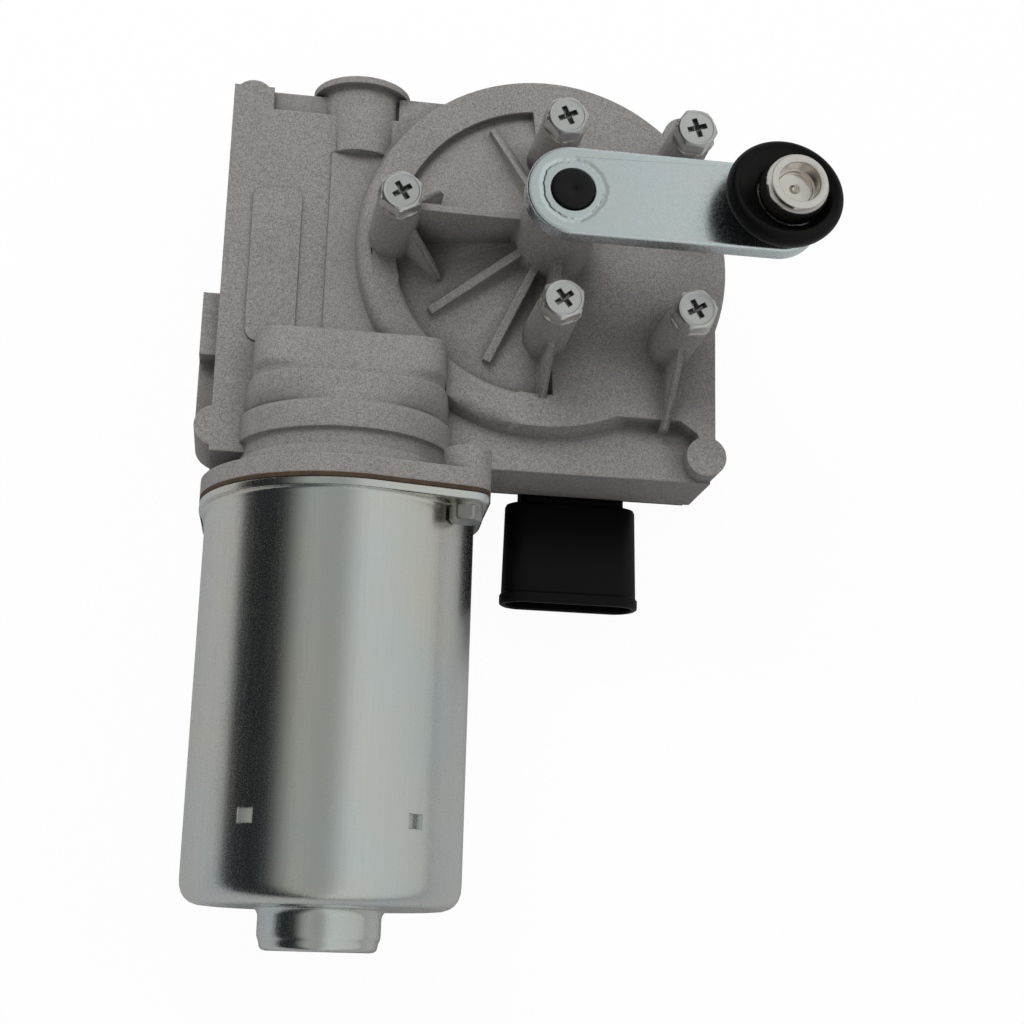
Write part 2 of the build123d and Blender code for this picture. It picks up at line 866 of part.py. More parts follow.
# Ball stud riveted through the arm
with BuildPart() as ball_stud:
    with Locations((crank_radius, 0, ball_centre_z)):
        Sphere(ball_radius)
    split(bisect_by=Plane.XY.offset(ball_flat_z), keep=Keep.BOTTOM)
    with Locations((crank_radius, 0, arm_top)):
        Cylinder(ball_neck_radius, ball_centre_z - arm_top, align=(Align.CENTER, Align.CENTER, Align.MIN))
    with Locations((crank_radius, 0, arm_low - rivet_head)):
        Cylinder(rivet_radius, arm_thickness + rivet_head, align=(Align.CENTER, Align.CENTER, Align.MIN))
        Cone(
            rivet_radius + rivet_head / 2,
            rivet_head_radius,
            rivet_head,
            align=(Align.CENTER, Align.CENTER, Align.MIN),
        )
    with Locations((crank_radius, 0, ball_flat_z)):
        Cylinder(
            ball_hole_radius,
            ball_hole_depth,
            align=(Align.CENTER, Align.CENTER, Align.MAX),
            mode=Mode.SUBTRACT,
        )
save(ball_stud, "ball_stud")

# Rubber cap round the ball: a foot on the arm, a wide band and a funnel down to a lip at the ball
cap_top = arm_top + cap_height
lip_z = cap_top - cap_height / 2
lip_inner = math.sqrt(ball_radius**2 - (lip_z - ball_centre_z) ** 2) + cap_lip_gap
cap_side = Plane(origin=(crank_radius, 0, 0), x_dir=(1, 0, 0), z_dir=(0, -1, 0))
with BuildPart() as ball_cap:
    revolve(
        section(
            cap_side,
            [
                (cap_foot_radius - cap_wall, arm_top),
                (cap_foot_radius, arm_top),
                (cap_radius, arm_top + cap_low),
                (cap_radius, arm_top + cap_low + cap_band),
                (cap_rim_radius, cap_top),
                (cap_rim_radius - cap_wall, cap_top),
                (lip_inner, lip_z),
                (lip_inner, lip_z - cap_wall),
            ],
        ),
        axis=Axis((crank_radius, 0, 0), (0, 0, 1)),
    )
save(ball_cap, "ball_cap")

# Five mounting screws with flanged hexagon heads
with BuildPart() as mounting_screws:
    with BuildSketch(Plane.XY.offset(-screw_grip)):
        with Locations(*screw_places):
            Circle(screw_radius)
    extrude(amount=screw_grip)
    with BuildSketch():
        with Locations(*screw_places):
            Circle(boss_radius - screw_flange / 2)
    extrude(amount=screw_flange)
    with BuildSketch(Plane.XY.offset(screw_flange)):
        with Locations(*screw_places):
            RegularPolygon(screw_head_across / 2, 6, major_radius=False)
    extrude(amount=screw_head)
    with BuildSketch(Plane.XY.offset(screw_flange + screw_head)):
        with Locations(*screw_places):
            Rectangle(cross_span, cross_width, rotation=35)
            Rectangle(cross_span, cross_width, rotation=125)
    extrude(amount=-cross_depth, mode=Mode.SUBTRACT)
save(mounting_screws, "mounting_screws")

# Motor shaft with its rolled worm: the thread is swept along a helix, then fused on
thread_root = worm_root_radius - tip_clearance
thread_low = -worm_length / 2
root_rise = worm_pitch_radius - thread_root
with BuildPart() as worm_thread:
    with BuildLine():
        Helix(worm_lead, worm_length, worm_pitch_radius, center=(0, 0, thread_low))
    with BuildSketch(Plane(origin=(worm_pitch_radius, 0, thread_low), x_dir=(1, 0, 0), z_dir=(0, -1, 0))):
        with BuildLine():
            Polyline(
                (-root_rise, -worm_tooth / 2 - root_rise * flank),
                (tooth_addendum, -worm_tooth / 2 + tooth_addendum * flank),
                (tooth_addendum, worm_tooth / 2 - tooth_addendum * flank),
                (-root_rise, worm_tooth / 2 + root_rise * flank),
                close=True,
            )
        make_face()
    sweep(is_frenet=True)

with BuildPart(across_plane(0)) as armature_shaft:
    with BuildSketch(across_plane(shaft_back)):
        Circle(motor_shaft_radius)
    extrude(amount=thread_low - worm_blank - shaft_back)
    with BuildSketch(across_plane(thread_low - worm_blank)):
        Circle(worm_root_radius)
    extrude(amount=worm_length + 2 * worm_blank)
    with BuildSketch(across_plane(thread_low)):
        Circle(journal_radius)
    extrude(amount=shaft_front - thread_low)
    add(worm_thread.part)
save(armature_shaft, "armature_shaft")

# Slotted lamination stack, its windings and the commutator
slot_floor = stack_radius - slot_depth
with BuildPart() as lamination_stack:
    with BuildSketch(across_plane(stack_back)):
        Circle(stack_radius)
        Circle(motor_shaft_radius, mode=Mode.SUBTRACT)
        with PolarLocations(slot_floor, stack_slots):
            Rectangle(slot_depth, slot_width, align=(Align.MIN, Align.CENTER), mode=Mode.SUBTRACT)
    extrude(amount=stack_length)
save(lamination_stack, "lamination_stack")

with BuildPart() as windings:
    for start, length in ((stack_back - coil_overhang, coil_overhang), (stack_front, coil_overhang)):
        with BuildSketch(across_plane(start)):
            Circle(coil_radius)
            Circle(coil_bore, mode=Mode.SUBTRACT)
        extrude(amount=length)
    with BuildSketch(across_plane(stack_back)):
        with PolarLocations(slot_floor, stack_slots):
            Rectangle(coil_radius - slot_floor, slot_width, align=(Align.MIN, Align.CENTER))
    extrude(amount=stack_length)
save(windings, "windings")

with BuildPart() as commutator:
    with BuildSketch(across_plane(commutator_back)):
        Circle(commutator_radius)
        Circle(motor_shaft_radius, mode=Mode.SUBTRACT)
        with PolarLocations(commutator_radius - commutator_slit_depth, stack_slots):
            Rectangle(
                2 * commutator_slit_depth,
                commutator_slit,
                align=(Align.MIN, Align.CENTER),
                mode=Mode.SUBTRACT,
            )
    extrude(amount=commutator_length)
save(commutator, "commutator")

# Bearing in the neck, bush at the worm end, and the thrust pad and plug in the hood
with BuildPart() as armature_bearing:
    with BuildSketch(across_plane(bearing_back)):
        Circle(bearing_radius)
        Circle(motor_shaft_radius + shaft_clearance, mode=Mode.SUBTRACT)
    extrude(amount=bearing_length)
save(armature_bearing, "armature_bearing")

with BuildPart() as worm_end_bush:
    with BuildSketch(across_plane(end_seat_start)):
        Circle(end_seat_radius)
        Circle(journal_radius + shaft_clearance, mode=Mode.SUBTRACT)
    extrude(amount=end_bush_length)
save(worm_end_bush, "worm_end_bush")

with BuildPart() as worm_thrust_pad:
    with BuildSketch(across_plane(shaft_front + thrust_play)):
        Circle(end_seat_radius)
    extrude(amount=thrust_pad)
save(worm_thrust_pad, "worm_thrust_pad")

plug_start = shaft_front + thrust_play + thrust_pad
with BuildPart() as end_plug:
    with BuildSketch(across_plane(plug_start)):
        Circle(end_seat_radius)
    extrude(amount=hood_end - plug_start)
    with BuildSketch(across_plane(hood_end)):
        Rectangle(2 * end_seat_radius, plug_slot)
    extrude(amount=-plug_slot, mode=Mode.SUBTRACT)
save(end_plug, "end_plug")

# Gasket and the drawn steel can with its cup, flange and dents
with BuildPart() as motor_gasket:
    with BuildSketch(across_plane(can_top)):
        add(flange_outline.sketch)
        Circle(can_inner_radius, mode=Mode.SUBTRACT)
        with Locations(*ear_offsets):
            Circle(bolt_radius, mode=Mode.SUBTRACT)
    extrude(amount=gasket_thickness)
save(motor_gasket, "motor_gasket")

with BuildPart() as motor_can:
    with BuildSketch(across_plane(can_top)):
        add(flange_outline.sketch)
    extrude(amount=-can_flange)
    revolve(pot(can_radius, can_top, can_bottom, can_corner), axis=worm_axis)
    revolve(pot(cup_radius, can_bottom + can_corner, cup_bottom, cup_corner), axis=worm_axis)
    with BuildSketch(across_plane(cup_bottom)):
        Circle(cup_step_radius)
    extrude(amount=cup_step, mode=Mode.SUBTRACT)
    revolve(
        pot(can_inner_radius, can_top, can_bottom + can_wall, can_corner - can_wall),
        axis=worm_axis,
        mode=Mode.SUBTRACT,
    )
    revolve(
        pot(cup_radius - can_wall, can_bottom + can_corner, cup_floor, cup_corner - can_wall),
        axis=worm_axis,
        mode=Mode.SUBTRACT,
    )
    with BuildSketch(across_plane(cup_floor)):
        Circle(cup_step_radius + can_wall / 2)
    extrude(amount=cup_step, mode=Mode.ADD)
    with BuildSketch(across_plane(can_top)):
        with Locations(*ear_offsets):
            Circle(bolt_radius)
    extrude(amount=-can_flange, mode=Mode.SUBTRACT)
    for turn in (-dent_angle, dent_angle):
        away = Vector(math.sin(math.radians(turn)), 0, math.cos(math.radians(turn)))
        floor = Vector(worm_x, dent_y, worm_z) + away * (can_radius - dent_depth)
        with BuildSketch(Plane(origin=floor, x_dir=(0, 1, 0), z_dir=away)):
            Rectangle(dent_height, dent_width)
        extrude(amount=2 * dent_depth, mode=Mode.SUBTRACT)
save(motor_can, "motor_can")

# Two arc magnets bonded in the can
magnet_low = stack_back - magnet_overhang
magnet_gap = math.tan(math.radians(90 - magnet_arc / 2)) * can_radius
with BuildPart() as magnets:
    with BuildSketch(across_plane(magnet_low)):
        Circle(can_inner_radius)
        Circle(can_inner_radius - magnet_thickness, mode=Mode.SUBTRACT)
        for side in (-can_radius, can_radius):
            with BuildLine():
                Polyline((0, 0), (side, magnet_gap), (side, -magnet_gap), close=True)
            make_face(mode=Mode.SUBTRACT)
    extrude(amount=stack_length + 2 * magnet_overhang)
save(magnets, "magnets")

# Bush in the cup, the clip that holds it and the thrust disc under the shaft
with BuildPart() as can_bush:
    with BuildSketch(across_plane(shaft_back + cup_step)):
        Circle(cup_bush_radius)
        Circle(motor_shaft_radius + shaft_clearance, mode=Mode.SUBTRACT)
    extrude(amount=cup_bush_length)
save(can_bush, "can_bush")

with BuildPart() as bush_clip:
    with BuildSketch(across_plane(shaft_back + cup_bush_length / 2)):
        Circle(cup_radius - can_wall)
        Circle(cup_bush_radius, mode=Mode.SUBTRACT)
    extrude(amount=-clip_thickness)
save(bush_clip, "bush_clip")

with BuildPart() as can_thrust_disc:
    with BuildSketch(across_plane(cup_floor + cup_step)):
        Circle(cup_bush_radius)
    extrude(amount=shaft_back - thrust_play - cup_floor - cup_step)
save(can_thrust_disc, "can_thrust_disc")

# Two bolts that clamp the can to the case
with BuildPart() as flange_bolts:
    with BuildSketch(across_plane(can_top - can_flange)):
        with Locations(*ear_offsets):
            RegularPolygon(bolt_head_across / 2, 6, major_radius=False, rotation=30 - ear_angle)
    extrude(amount=-bolt_head)
    with BuildSketch(across_plane(can_top - can_flange)):
        with Locations(*ear_offsets):
            Circle(bolt_radius)
    extrude(amount=joint_y + bolt_depth - can_top + can_flange)
save(flange_bolts, "flange_bolts")

# Brush plate with three posts up to the case, and two brush boxes
with BuildPart() as brush_plate:
    with BuildSketch(across_plane(plate_y)):
        Circle(can_inner_radius - plate_rim_gap)
        Circle(plate_bore, mode=Mode.SUBTRACT)
    extrude(amount=plate_thickness)
    with BuildSketch(across_plane(plate_y + plate_thickness)):
        with PolarLocations(post_circle, 3, start_angle=90):
            Circle(post_radius)
    extrude(amount=joint_y - plate_y - plate_thickness)
save(brush_plate, "brush_plate")


def radial_plane(side, radius):
    """A plane across the path of a brush, at a radius from the motor axis."""
    return Plane(origin=(worm_x + side * radius, brush_y, worm_z), x_dir=(0, 1, 0), z_dir=(side, 0, 0))


with BuildPart() as brush_boxes:
    for side in (1, -1):
        with BuildSketch(radial_plane(side, plate_bore)):
            Rectangle(
                brush_height + 2 * (brush_fit + brush_box_wall),
                brush_width + 2 * (brush_fit + brush_box_wall),
            )
        extrude(amount=brush_box_end - plate_bore)
        with BuildSketch(radial_plane(side, plate_bore)):
            Rectangle(brush_height + 2 * brush_fit, brush_width + 2 * brush_fit)
        extrude(amount=brush_box_end - plate_bore - brush_box_wall, mode=Mode.SUBTRACT)
save(brush_boxes, "brush_boxes")

with BuildPart() as brushes:
    for side in (1, -1):
        with BuildSketch(radial_plane(side, brush_tip)):
            Rectangle(brush_height, brush_width)
        extrude(amount=brush_length)
save(brushes, "brushes")

# Coil springs behind the brushes
spring_start = brush_tip + brush_length
spring_room = brush_box_end - brush_box_wall - spring_start
with BuildPart() as spring_coil:
    with BuildLine():
        Helix(
            (spring_room - 2 * spring_wire) / spring_turns,
            spring_room - 2 * spring_wire,
            spring_radius,
            center=(0, 0, spring_wire),
        )
    with BuildSketch(Plane(origin=(spring_radius, 0, spring_wire), x_dir=(1, 0, 0), z_dir=(0, -1, 0))):
        RegularPolygon(spring_wire, 6)
    sweep(is_frenet=True)

with BuildPart(radial_plane(1, spring_start), radial_plane(-1, spring_start)) as brush_springs:
    add(spring_coil.part)
save(brush_springs, "brush_springs")

# Two suppression chokes on the brush plate, each with a flat foot
with BuildPart() as chokes:
    for side in (1, -1):
        start = Plane(
            origin=(worm_x - choke_length / 2, plate_y - choke_radius, worm_z + side * choke_offset),
            x_dir=(0, 1, 0),
            z_dir=(1, 0, 0),
        )
        with BuildSketch(start):
            Circle(choke_radius)
            Rectangle(choke_radius, choke_radius, align=(Align.MIN, Align.CENTER))
        extrude(amount=choke_length)
save(chokes, "chokes")

# Seal in the parting plane and the moulded rear cover with its posts
with BuildPart() as cover_seal:
    with BuildSketch(Plane.XY.offset(cover_top)):
        add(rim_outline.sketch)
        offset(rim_outline.sketch, amount=-seal_width, mode=Mode.SUBTRACT)
        with Locations(*lobe_places):
            Circle(cover_screw_radius, mode=Mode.SUBTRACT)
    extrude(amount=seal_thickness)
save(cover_seal, "cover_seal")

with BuildPart() as rear_cover:
    with BuildSketch(Plane.XY.offset(cover_top)):
        add(rim_outline.sketch)
    extrude(amount=-cover_flange)
    with BuildSketch(Plane.XY.offset(cover_back)):
        add(pan_outline.sketch)
    extrude(amount=cover_depth - cover_flange)
    with BuildSketch(Plane.XY.offset(cover_back + cover_floor)):
        offset(pan_outline.sketch, amount=-cover_wall)
    extrude(amount=cover_depth - cover_floor, mode=Mode.SUBTRACT)
    with BuildSketch(Plane.XY.offset(cover_back + cover_floor)):
        with Locations(*board_screw_places):
            Circle(post_outer_radius)
            Circle(board_screw_radius, mode=Mode.SUBTRACT)
    extrude(amount=board_gap)
    with BuildSketch(Plane.XY.offset(cover_top)):
        with Locations(*lobe_places):
            Circle(cover_screw_radius)
    extrude(amount=-cover_flange, mode=Mode.SUBTRACT)
    with BuildSketch(Plane(origin=(socket_centre_x, socket_inside, socket_z), x_dir=(1, 0, 0), z_dir=(0, -1, 0))):
        RectangleRounded(socket_neck_width, socket_neck_depth, socket_wall)
    extrude(amount=socket_inside - socket_shoulder, mode=Mode.SUBTRACT)
save(rear_cover, "rear_cover")

with BuildPart() as cover_screws:
    screw_seat = cover_top - cover_flange
    with BuildSketch(Plane.XY.offset(screw_seat)):
        with Locations(*lobe_places):
            Circle(cover_screw_head_radius)
    extrude(amount=-cover_screw_head)
    with BuildSketch(Plane.XY.offset(screw_seat)):
        with Locations(*lobe_places):
            Circle(cover_screw_radius)
    extrude(amount=back_z + cover_screw_grip - screw_seat)
    with BuildSketch(Plane.XY.offset(screw_seat - cover_screw_head)):
        with Locations(*lobe_places):
            RegularPolygon(cover_screw_radius, 6)
    extrude(amount=cover_screw_head / 2, mode=Mode.SUBTRACT)
save(cover_screws, "cover_screws")

# Circuit board on the cover posts, its parts and its screws
pin_places = [socket_centre_x + pin_pitch * (place - (pin_count - 1) / 2) for place in range(pin_count)]
with BuildPart() as circuit_board:
    with BuildSketch(Plane.XY.offset(board_z)):
        with BuildLine():
            Polyline(*board_corners, close=True)
        make_face()
        with Locations(*board_screw_places):
            Circle(board_screw_radius, mode=Mode.SUBTRACT)
        with Locations(*[(x, pin_riser) for x in pin_places]):
            Rectangle(pin_width, pin_thickness, mode=Mode.SUBTRACT)
    extrude(amount=board_thickness)
save(circuit_board, "circuit_board")

with BuildPart() as board_parts:
    for x, y, width, length, height in board_blocks:
        with BuildSketch(Plane.XY.offset(board_top)):
            with Locations((x, y)):
                Rectangle(width, length)
        extrude(amount=height)
    with BuildSketch(Plane.XY.offset(board_top)):
        with Locations(*board_cans):
            Circle(can_part_radius)
    extrude(amount=can_part_height)
save(board_parts, "board_parts")

with BuildPart() as board_screws:
    with BuildSketch(Plane.XY.offset(board_top)):
        with Locations(*board_screw_places):
            Circle(board_screw_head_radius)
    extrude(amount=board_screw_head)
    with BuildSketch(Plane.XY.offset(board_top)):
        with Locations(*board_screw_places):
            Circle(board_screw_radius)
    extrude(amount=-board_screw_grip)
save(board_screws, "board_screws")

# Connector shell with its neck through the cover wall, and the four blades
socket_plane = Plane(origin=(socket_centre_x, socket_shoulder, socket_z), x_dir=(1, 0, 0), z_dir=(0, -1, 0))
with BuildPart() as connector_housing:
    with BuildSketch(socket_plane):
        SlotOverall(socket_width, socket_depth)
    extrude(amount=socket_shoulder - socket_mouth)
    with BuildSketch(socket_plane.offset(socket_shoulder - socket_floor)):
        SlotOverall(socket_width - 2 * socket_wall, socket_depth - 2 * socket_wall)
    extrude(amount=socket_floor - socket_mouth, mode=Mode.SUBTRACT)
    with BuildSketch(socket_plane):
        RectangleRounded(socket_neck_width, socket_neck_depth, socket_wall)
    extrude(amount=socket_shoulder - socket_inside)
    with BuildSketch(socket_plane.offset(socket_shoulder - socket_floor)):
        with Locations(*[(x - socket_centre_x, 0) for x in pin_places]):
            Rectangle(pin_width, pin_thickness)
    extrude(amount=socket_floor - socket_inside, mode=Mode.SUBTRACT)
save(connector_housing, "connector_housing")

with BuildPart() as connector_pins:
    for x in pin_places:
        with BuildSketch(Plane(origin=(x, pin_tip, socket_z), x_dir=(1, 0, 0), z_dir=(0, 1, 0))):
            Rectangle(pin_width, pin_thickness)
        extrude(amount=pin_riser + pin_thickness / 2 - pin_tip)
        with BuildSketch(Plane.XY.offset(socket_z)):
            with Locations((x, pin_riser)):
                Rectangle(pin_width, pin_thickness)
        extrude(amount=board_top + pin_thickness - socket_z)
save(connector_pins, "connector_pins")
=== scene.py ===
import logging
import math
from dataclasses import dataclass, replace
from enum import Enum

import bmesh
import bpy
from mathutils import Matrix, Vector, noise


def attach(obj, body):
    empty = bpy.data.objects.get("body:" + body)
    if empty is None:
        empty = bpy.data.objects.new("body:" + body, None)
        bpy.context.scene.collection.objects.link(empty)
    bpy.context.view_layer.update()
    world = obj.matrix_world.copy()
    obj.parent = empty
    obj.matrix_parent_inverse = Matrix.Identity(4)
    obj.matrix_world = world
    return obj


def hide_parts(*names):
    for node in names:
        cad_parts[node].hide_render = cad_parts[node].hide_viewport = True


logging.basicConfig(level=logging.INFO, format="%(message)s")
log = logging.getLogger("wiper_motor")

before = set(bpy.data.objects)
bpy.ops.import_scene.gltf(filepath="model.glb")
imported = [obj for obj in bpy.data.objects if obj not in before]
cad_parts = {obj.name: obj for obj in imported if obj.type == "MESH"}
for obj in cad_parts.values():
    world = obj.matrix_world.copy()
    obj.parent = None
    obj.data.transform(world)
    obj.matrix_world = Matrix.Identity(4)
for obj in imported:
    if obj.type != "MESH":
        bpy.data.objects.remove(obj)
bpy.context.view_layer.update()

MM = 0.001
TINY = 1e-6
AXIS_X = -47.0
AXIS_Z = -35.0
Triple = tuple[float, float, float]
Point = tuple[float, float]
Shape = bmesh.types.BMesh


class Body(Enum):
    """The bodies that carry the pieces made here."""

    CASE = "case"
    CRANK = "crank"


class Value:
    """A shader socket that takes part in Python arithmetic, one Math node for each step."""

    def __init__(self, recipe: "Recipe", socket: bpy.types.NodeSocket) -> None:
        """Wraps an output socket of a recipe."""
        self.recipe = recipe
        self.socket = socket

    def math(self, operation: str, *others: "Value | float", clamp: bool = False) -> "Value":
        """A Math node's result from this value and further operands, with clamp kept from 0 to 1."""
        settings = {"operation": operation, "use_clamp": clamp}
        return self.recipe.node("Math", settings, dict(enumerate((self, *others))))

    def __add__(self, other: "Value | float") -> "Value":
        """This value plus another."""
        return self.math("ADD", other)

    __radd__ = __add__

    def __mul__(self, other: "Value | float") -> "Value":
        """This value times another."""
        return self.math("MULTIPLY", other)

    __rmul__ = __mul__

    def __sub__(self, other: "Value | float") -> "Value":
        """This value less another."""
        return self.math("SUBTRACT", other)

    def __rsub__(self, other: float) -> "Value":
        """A number less this value."""
        return self.math("MULTIPLY_ADD", -1.0, other)

    def clamped(self) -> "Value":
        """This value kept from 0 to 1."""
        return self.math("ADD", 0.0, clamp=True)

    def contrast(self, gain: float) -> "Value":
        """This value spread away from one half and kept from 0 to 1."""
        return ((self - 0.5) * gain + 0.5).clamped()


class Recipe:
    """Builds the nodes of one material or of the world."""

    MIX_SOCKETS = (0, 6, 7)  # the factor and the two colours of a Mix node
    MIX_RESULT = 2
    EDGE_SAMPLES = 6
    HOLLOW_SAMPLES = 8

    def __init__(self, owner: bpy.types.Material | bpy.types.World) -> None:
        """Starts with no nodes.

        Args:
            owner: The material or world that the nodes belong to.
        """
        self.owner = owner
        owner.use_nodes = True
        self.tree = owner.node_tree
        self.tree.nodes.clear()

    def node(self, kind: str, settings: dict | None = None, inputs: dict | None = None,
             output: int | str = 0) -> Value | None:
        """Adds any node.

        Args:
            kind: The node's type without its first words, ShaderNode.
            settings: Attributes to set first; "stops" gives a ramp's positions and colours.
            inputs: Values or links by socket name or number.
            output: The output that is returned.

        Returns:
            The chosen output, or nothing for a node without outputs.
        """
        made = self.tree.nodes.new(f"ShaderNode{kind}")
        for key, setting in (settings or {}).items():
            if key == "stops":
                self._set_stops(made.color_ramp, setting)
            else:
                setattr(made, key, setting)
        for key, given in (inputs or {}).items():
            if isinstance(given, Value):
                self.tree.links.new(given.socket, made.inputs[key])
            else:
                made.inputs[key].default_value = given
        return Value(self, made.outputs[output]) if len(made.outputs) else None

    @staticmethod
    def _set_stops(ramp: bpy.types.ColorRamp, stops: tuple[tuple[float, Triple], ...]) -> None:
        """Fills a colour ramp.

        Args:
            ramp: The ramp.
            stops: Its positions and colours.
        """
        while len(ramp.elements) < len(stops):
            ramp.elements.new(1.0)
        for element, (position, colour) in zip(ramp.elements, stops):
            element.position = position
            element.color = (*colour, 1.0)

    def place(self, stretch: Triple = (1, 1, 1)) -> Value:
        """Object coordinates on which a pattern is a number of times finer along each axis."""
        here = self.node("TexCoord", output="Object")
        return self.node("Mapping", {}, {"Vector": here, "Scale": stretch})

    def noise(self, size_mm: float, detail: float, place: Value | None = None) -> Value:
        """Noise from 0 to 1 with features of a size and finer layers, on plain coordinates or others."""
        inputs = {"Vector": place or self.place(), "Scale": 1.0 / (size_mm * MM), "Detail": detail}
        return self.node("TexNoise", {}, inputs)

    def mix(self, factor: Value | float, low: Value | Triple, high: Value | Triple) -> Value:
        """Mixes two colours.

        Args:
            factor: 0 gives the first colour and 1 the second.
            low: The first colour.
            high: The second colour.

        Returns:
            The mixed colour.
        """
        pair = [(*c, 1.0) if isinstance(c, tuple) else c for c in (low, high)]
        inputs = dict(zip(self.MIX_SOCKETS, (factor, *pair)))
        return self.node("Mix", {"data_type": "RGBA"}, inputs, self.MIX_RESULT)

    def soft_edges(self, radius_mm: float) -> Value:
        """The surface's normal with its edges rounded to a radius."""
        return self.node("Bevel", {"samples": self.EDGE_SAMPLES}, {"Radius": radius_mm * MM})

    def edge_mask(self, rounded: Value, gain: float) -> Value:
        """Where a rounded normal leaves the true one, which is along edges.

        Args:
            rounded: The rounded normal.
            gain: How quickly the mask fills.

        Returns:
            The mask from 0 to 1.
        """
        true = self.node("NewGeometry", output="Normal")
        both = self.node("VectorMath", {"operation": "DOT_PRODUCT"}, {0: rounded, 1: true}, "Value")
        return ((1.0 - both) * gain).clamped()

    def shade_mask(self, reach_mm: float) -> Value:
        """An ambient-occlusion mask used for painted shade: dark in corners and recesses, as far as a wall
        reaches, and white in the open.
        """
        settings = {"samples": self.HOLLOW_SAMPLES}
        return self.node("AmbientOcclusion", settings, {"Distance": reach_mm * MM}, "AO")


Skin = tuple[Value, Value | float, Value, Value | None]


@dataclass(frozen=True)
class Finish:
    """A plain surface with fine grain and slow mottling, and the base of the other finishes."""

    name: str
    colour: Triple
    roughness: float = 0.5
    metallic: float = 0.0
    grain_mm: float = 0.4
    grain_depth: float = 0.02
    mottle_mm: float = 8.0
    mottle: float = 0.12
    edge_mm: float = 0.25
    gloss: float = 0.5

    def shade(self, amount: float) -> Triple:
        """The finish's colour made lighter or darker."""
        return tuple(min(1.0, channel * amount) for channel in self.colour)

    def shades(self, recipe: Recipe, factor: Value, low: float, high: float) -> Value:
        """Two shades of the colour, mixed."""
        return recipe.mix(factor, self.shade(low), self.shade(high))

    def material(self) -> bpy.types.Material:
        """Builds the material, once for each finish.

        Returns:
            The material.
        """
        name = f"look_{self.name}"
        if name in bpy.data.materials:
            return bpy.data.materials[name]
        recipe = Recipe(bpy.data.materials.new(name))
        colour, roughness, height, normal = self.mixed(recipe)
        relief = {"Height": height, "Distance": self.grain_depth * MM, "Strength": 1.0}
        if normal is not None:
            relief["Normal"] = normal
        inputs = {
            "Base Color": colour,
            "Roughness": roughness,
            "Metallic": self.metallic,
            "Specular IOR Level": self.gloss,
            "Normal": recipe.node("Bump", {}, relief),
        }
        shader = recipe.node("BsdfPrincipled", {}, inputs)
        recipe.node("OutputMaterial", {}, {"Surface": shader})
        return recipe.owner

    def mixed(self, recipe: Recipe) -> Skin:
        """Writes the nodes of the finish.

        Args:
            recipe: The material under construction.

        Returns:
            Its colour, its roughness, its relief and the normal that the relief starts from.
        """
        slow = recipe.noise(self.mottle_mm, 3.0)
        grain = recipe.noise(self.grain_mm, 2.0)
        colour = self.shades(recipe, slow, 1 - self.mottle, 1 + self.mottle)
        roughness = (grain * 0.2 + (self.roughness - 0.1)).clamped()
        return colour, roughness, grain, recipe.soft_edges(self.edge_mm)


@dataclass(frozen=True)
class Casting(Finish):
    """Blasted die-cast aluminium: fine grain, painted shade in hollows and paler rubbed edges."""

    coarser: float = 3.2
    speckles: float = 4.6
    speckle_shades: Point = (0.6, 1.42)
    clouds: float = 2.4
    cloud_shades: Point = (0.86, 1.12)
    cloud_part: float = 0.3
    # how far the painted shade in hollows reaches, and how dark it makes the colour
    shade_reach_mm: float = 7.0
    painted_shade: float = 0.36
    edge_gain: float = 4.0
    edge_shade: float = 1.6

    def mixed(self, recipe: Recipe) -> Skin:
        """Writes the nodes of the finish.

        Args:
            recipe: The material under construction.

        Returns:
            What the shader takes.
        """
        rounded = recipe.soft_edges(self.edge_mm)
        fine = recipe.noise(self.grain_mm, 3.0)
        coarse = recipe.noise(self.grain_mm * self.coarser, 2.0)
        slow = recipe.noise(self.mottle_mm, 4.0)
        occlusion_shade = recipe.shade_mask(self.shade_reach_mm)
        speckle = (fine * 0.8 + coarse * 0.2).contrast(self.speckles)
        ground = self.shades(recipe, speckle, *self.speckle_shades)
        cloudy = self.shades(recipe, slow.contrast(self.clouds), *self.cloud_shades)
        ground = recipe.mix(self.cloud_part, ground, cloudy)
        # painted shade: the colour is darkened where ambient occlusion finds hollows and corners
        painted_shade_ground = recipe.mix(occlusion_shade, self.shade(self.painted_shade), ground)
        rubbed = recipe.edge_mask(rounded, self.edge_gain) * (fine * 0.9)
        worn = recipe.mix(rubbed, painted_shade_ground, self.shade(self.edge_shade))
        roughness = (fine * 0.25 + (self.roughness - 0.12)).clamped()
        return worn, roughness, fine * 0.55 + coarse * 0.45, rounded


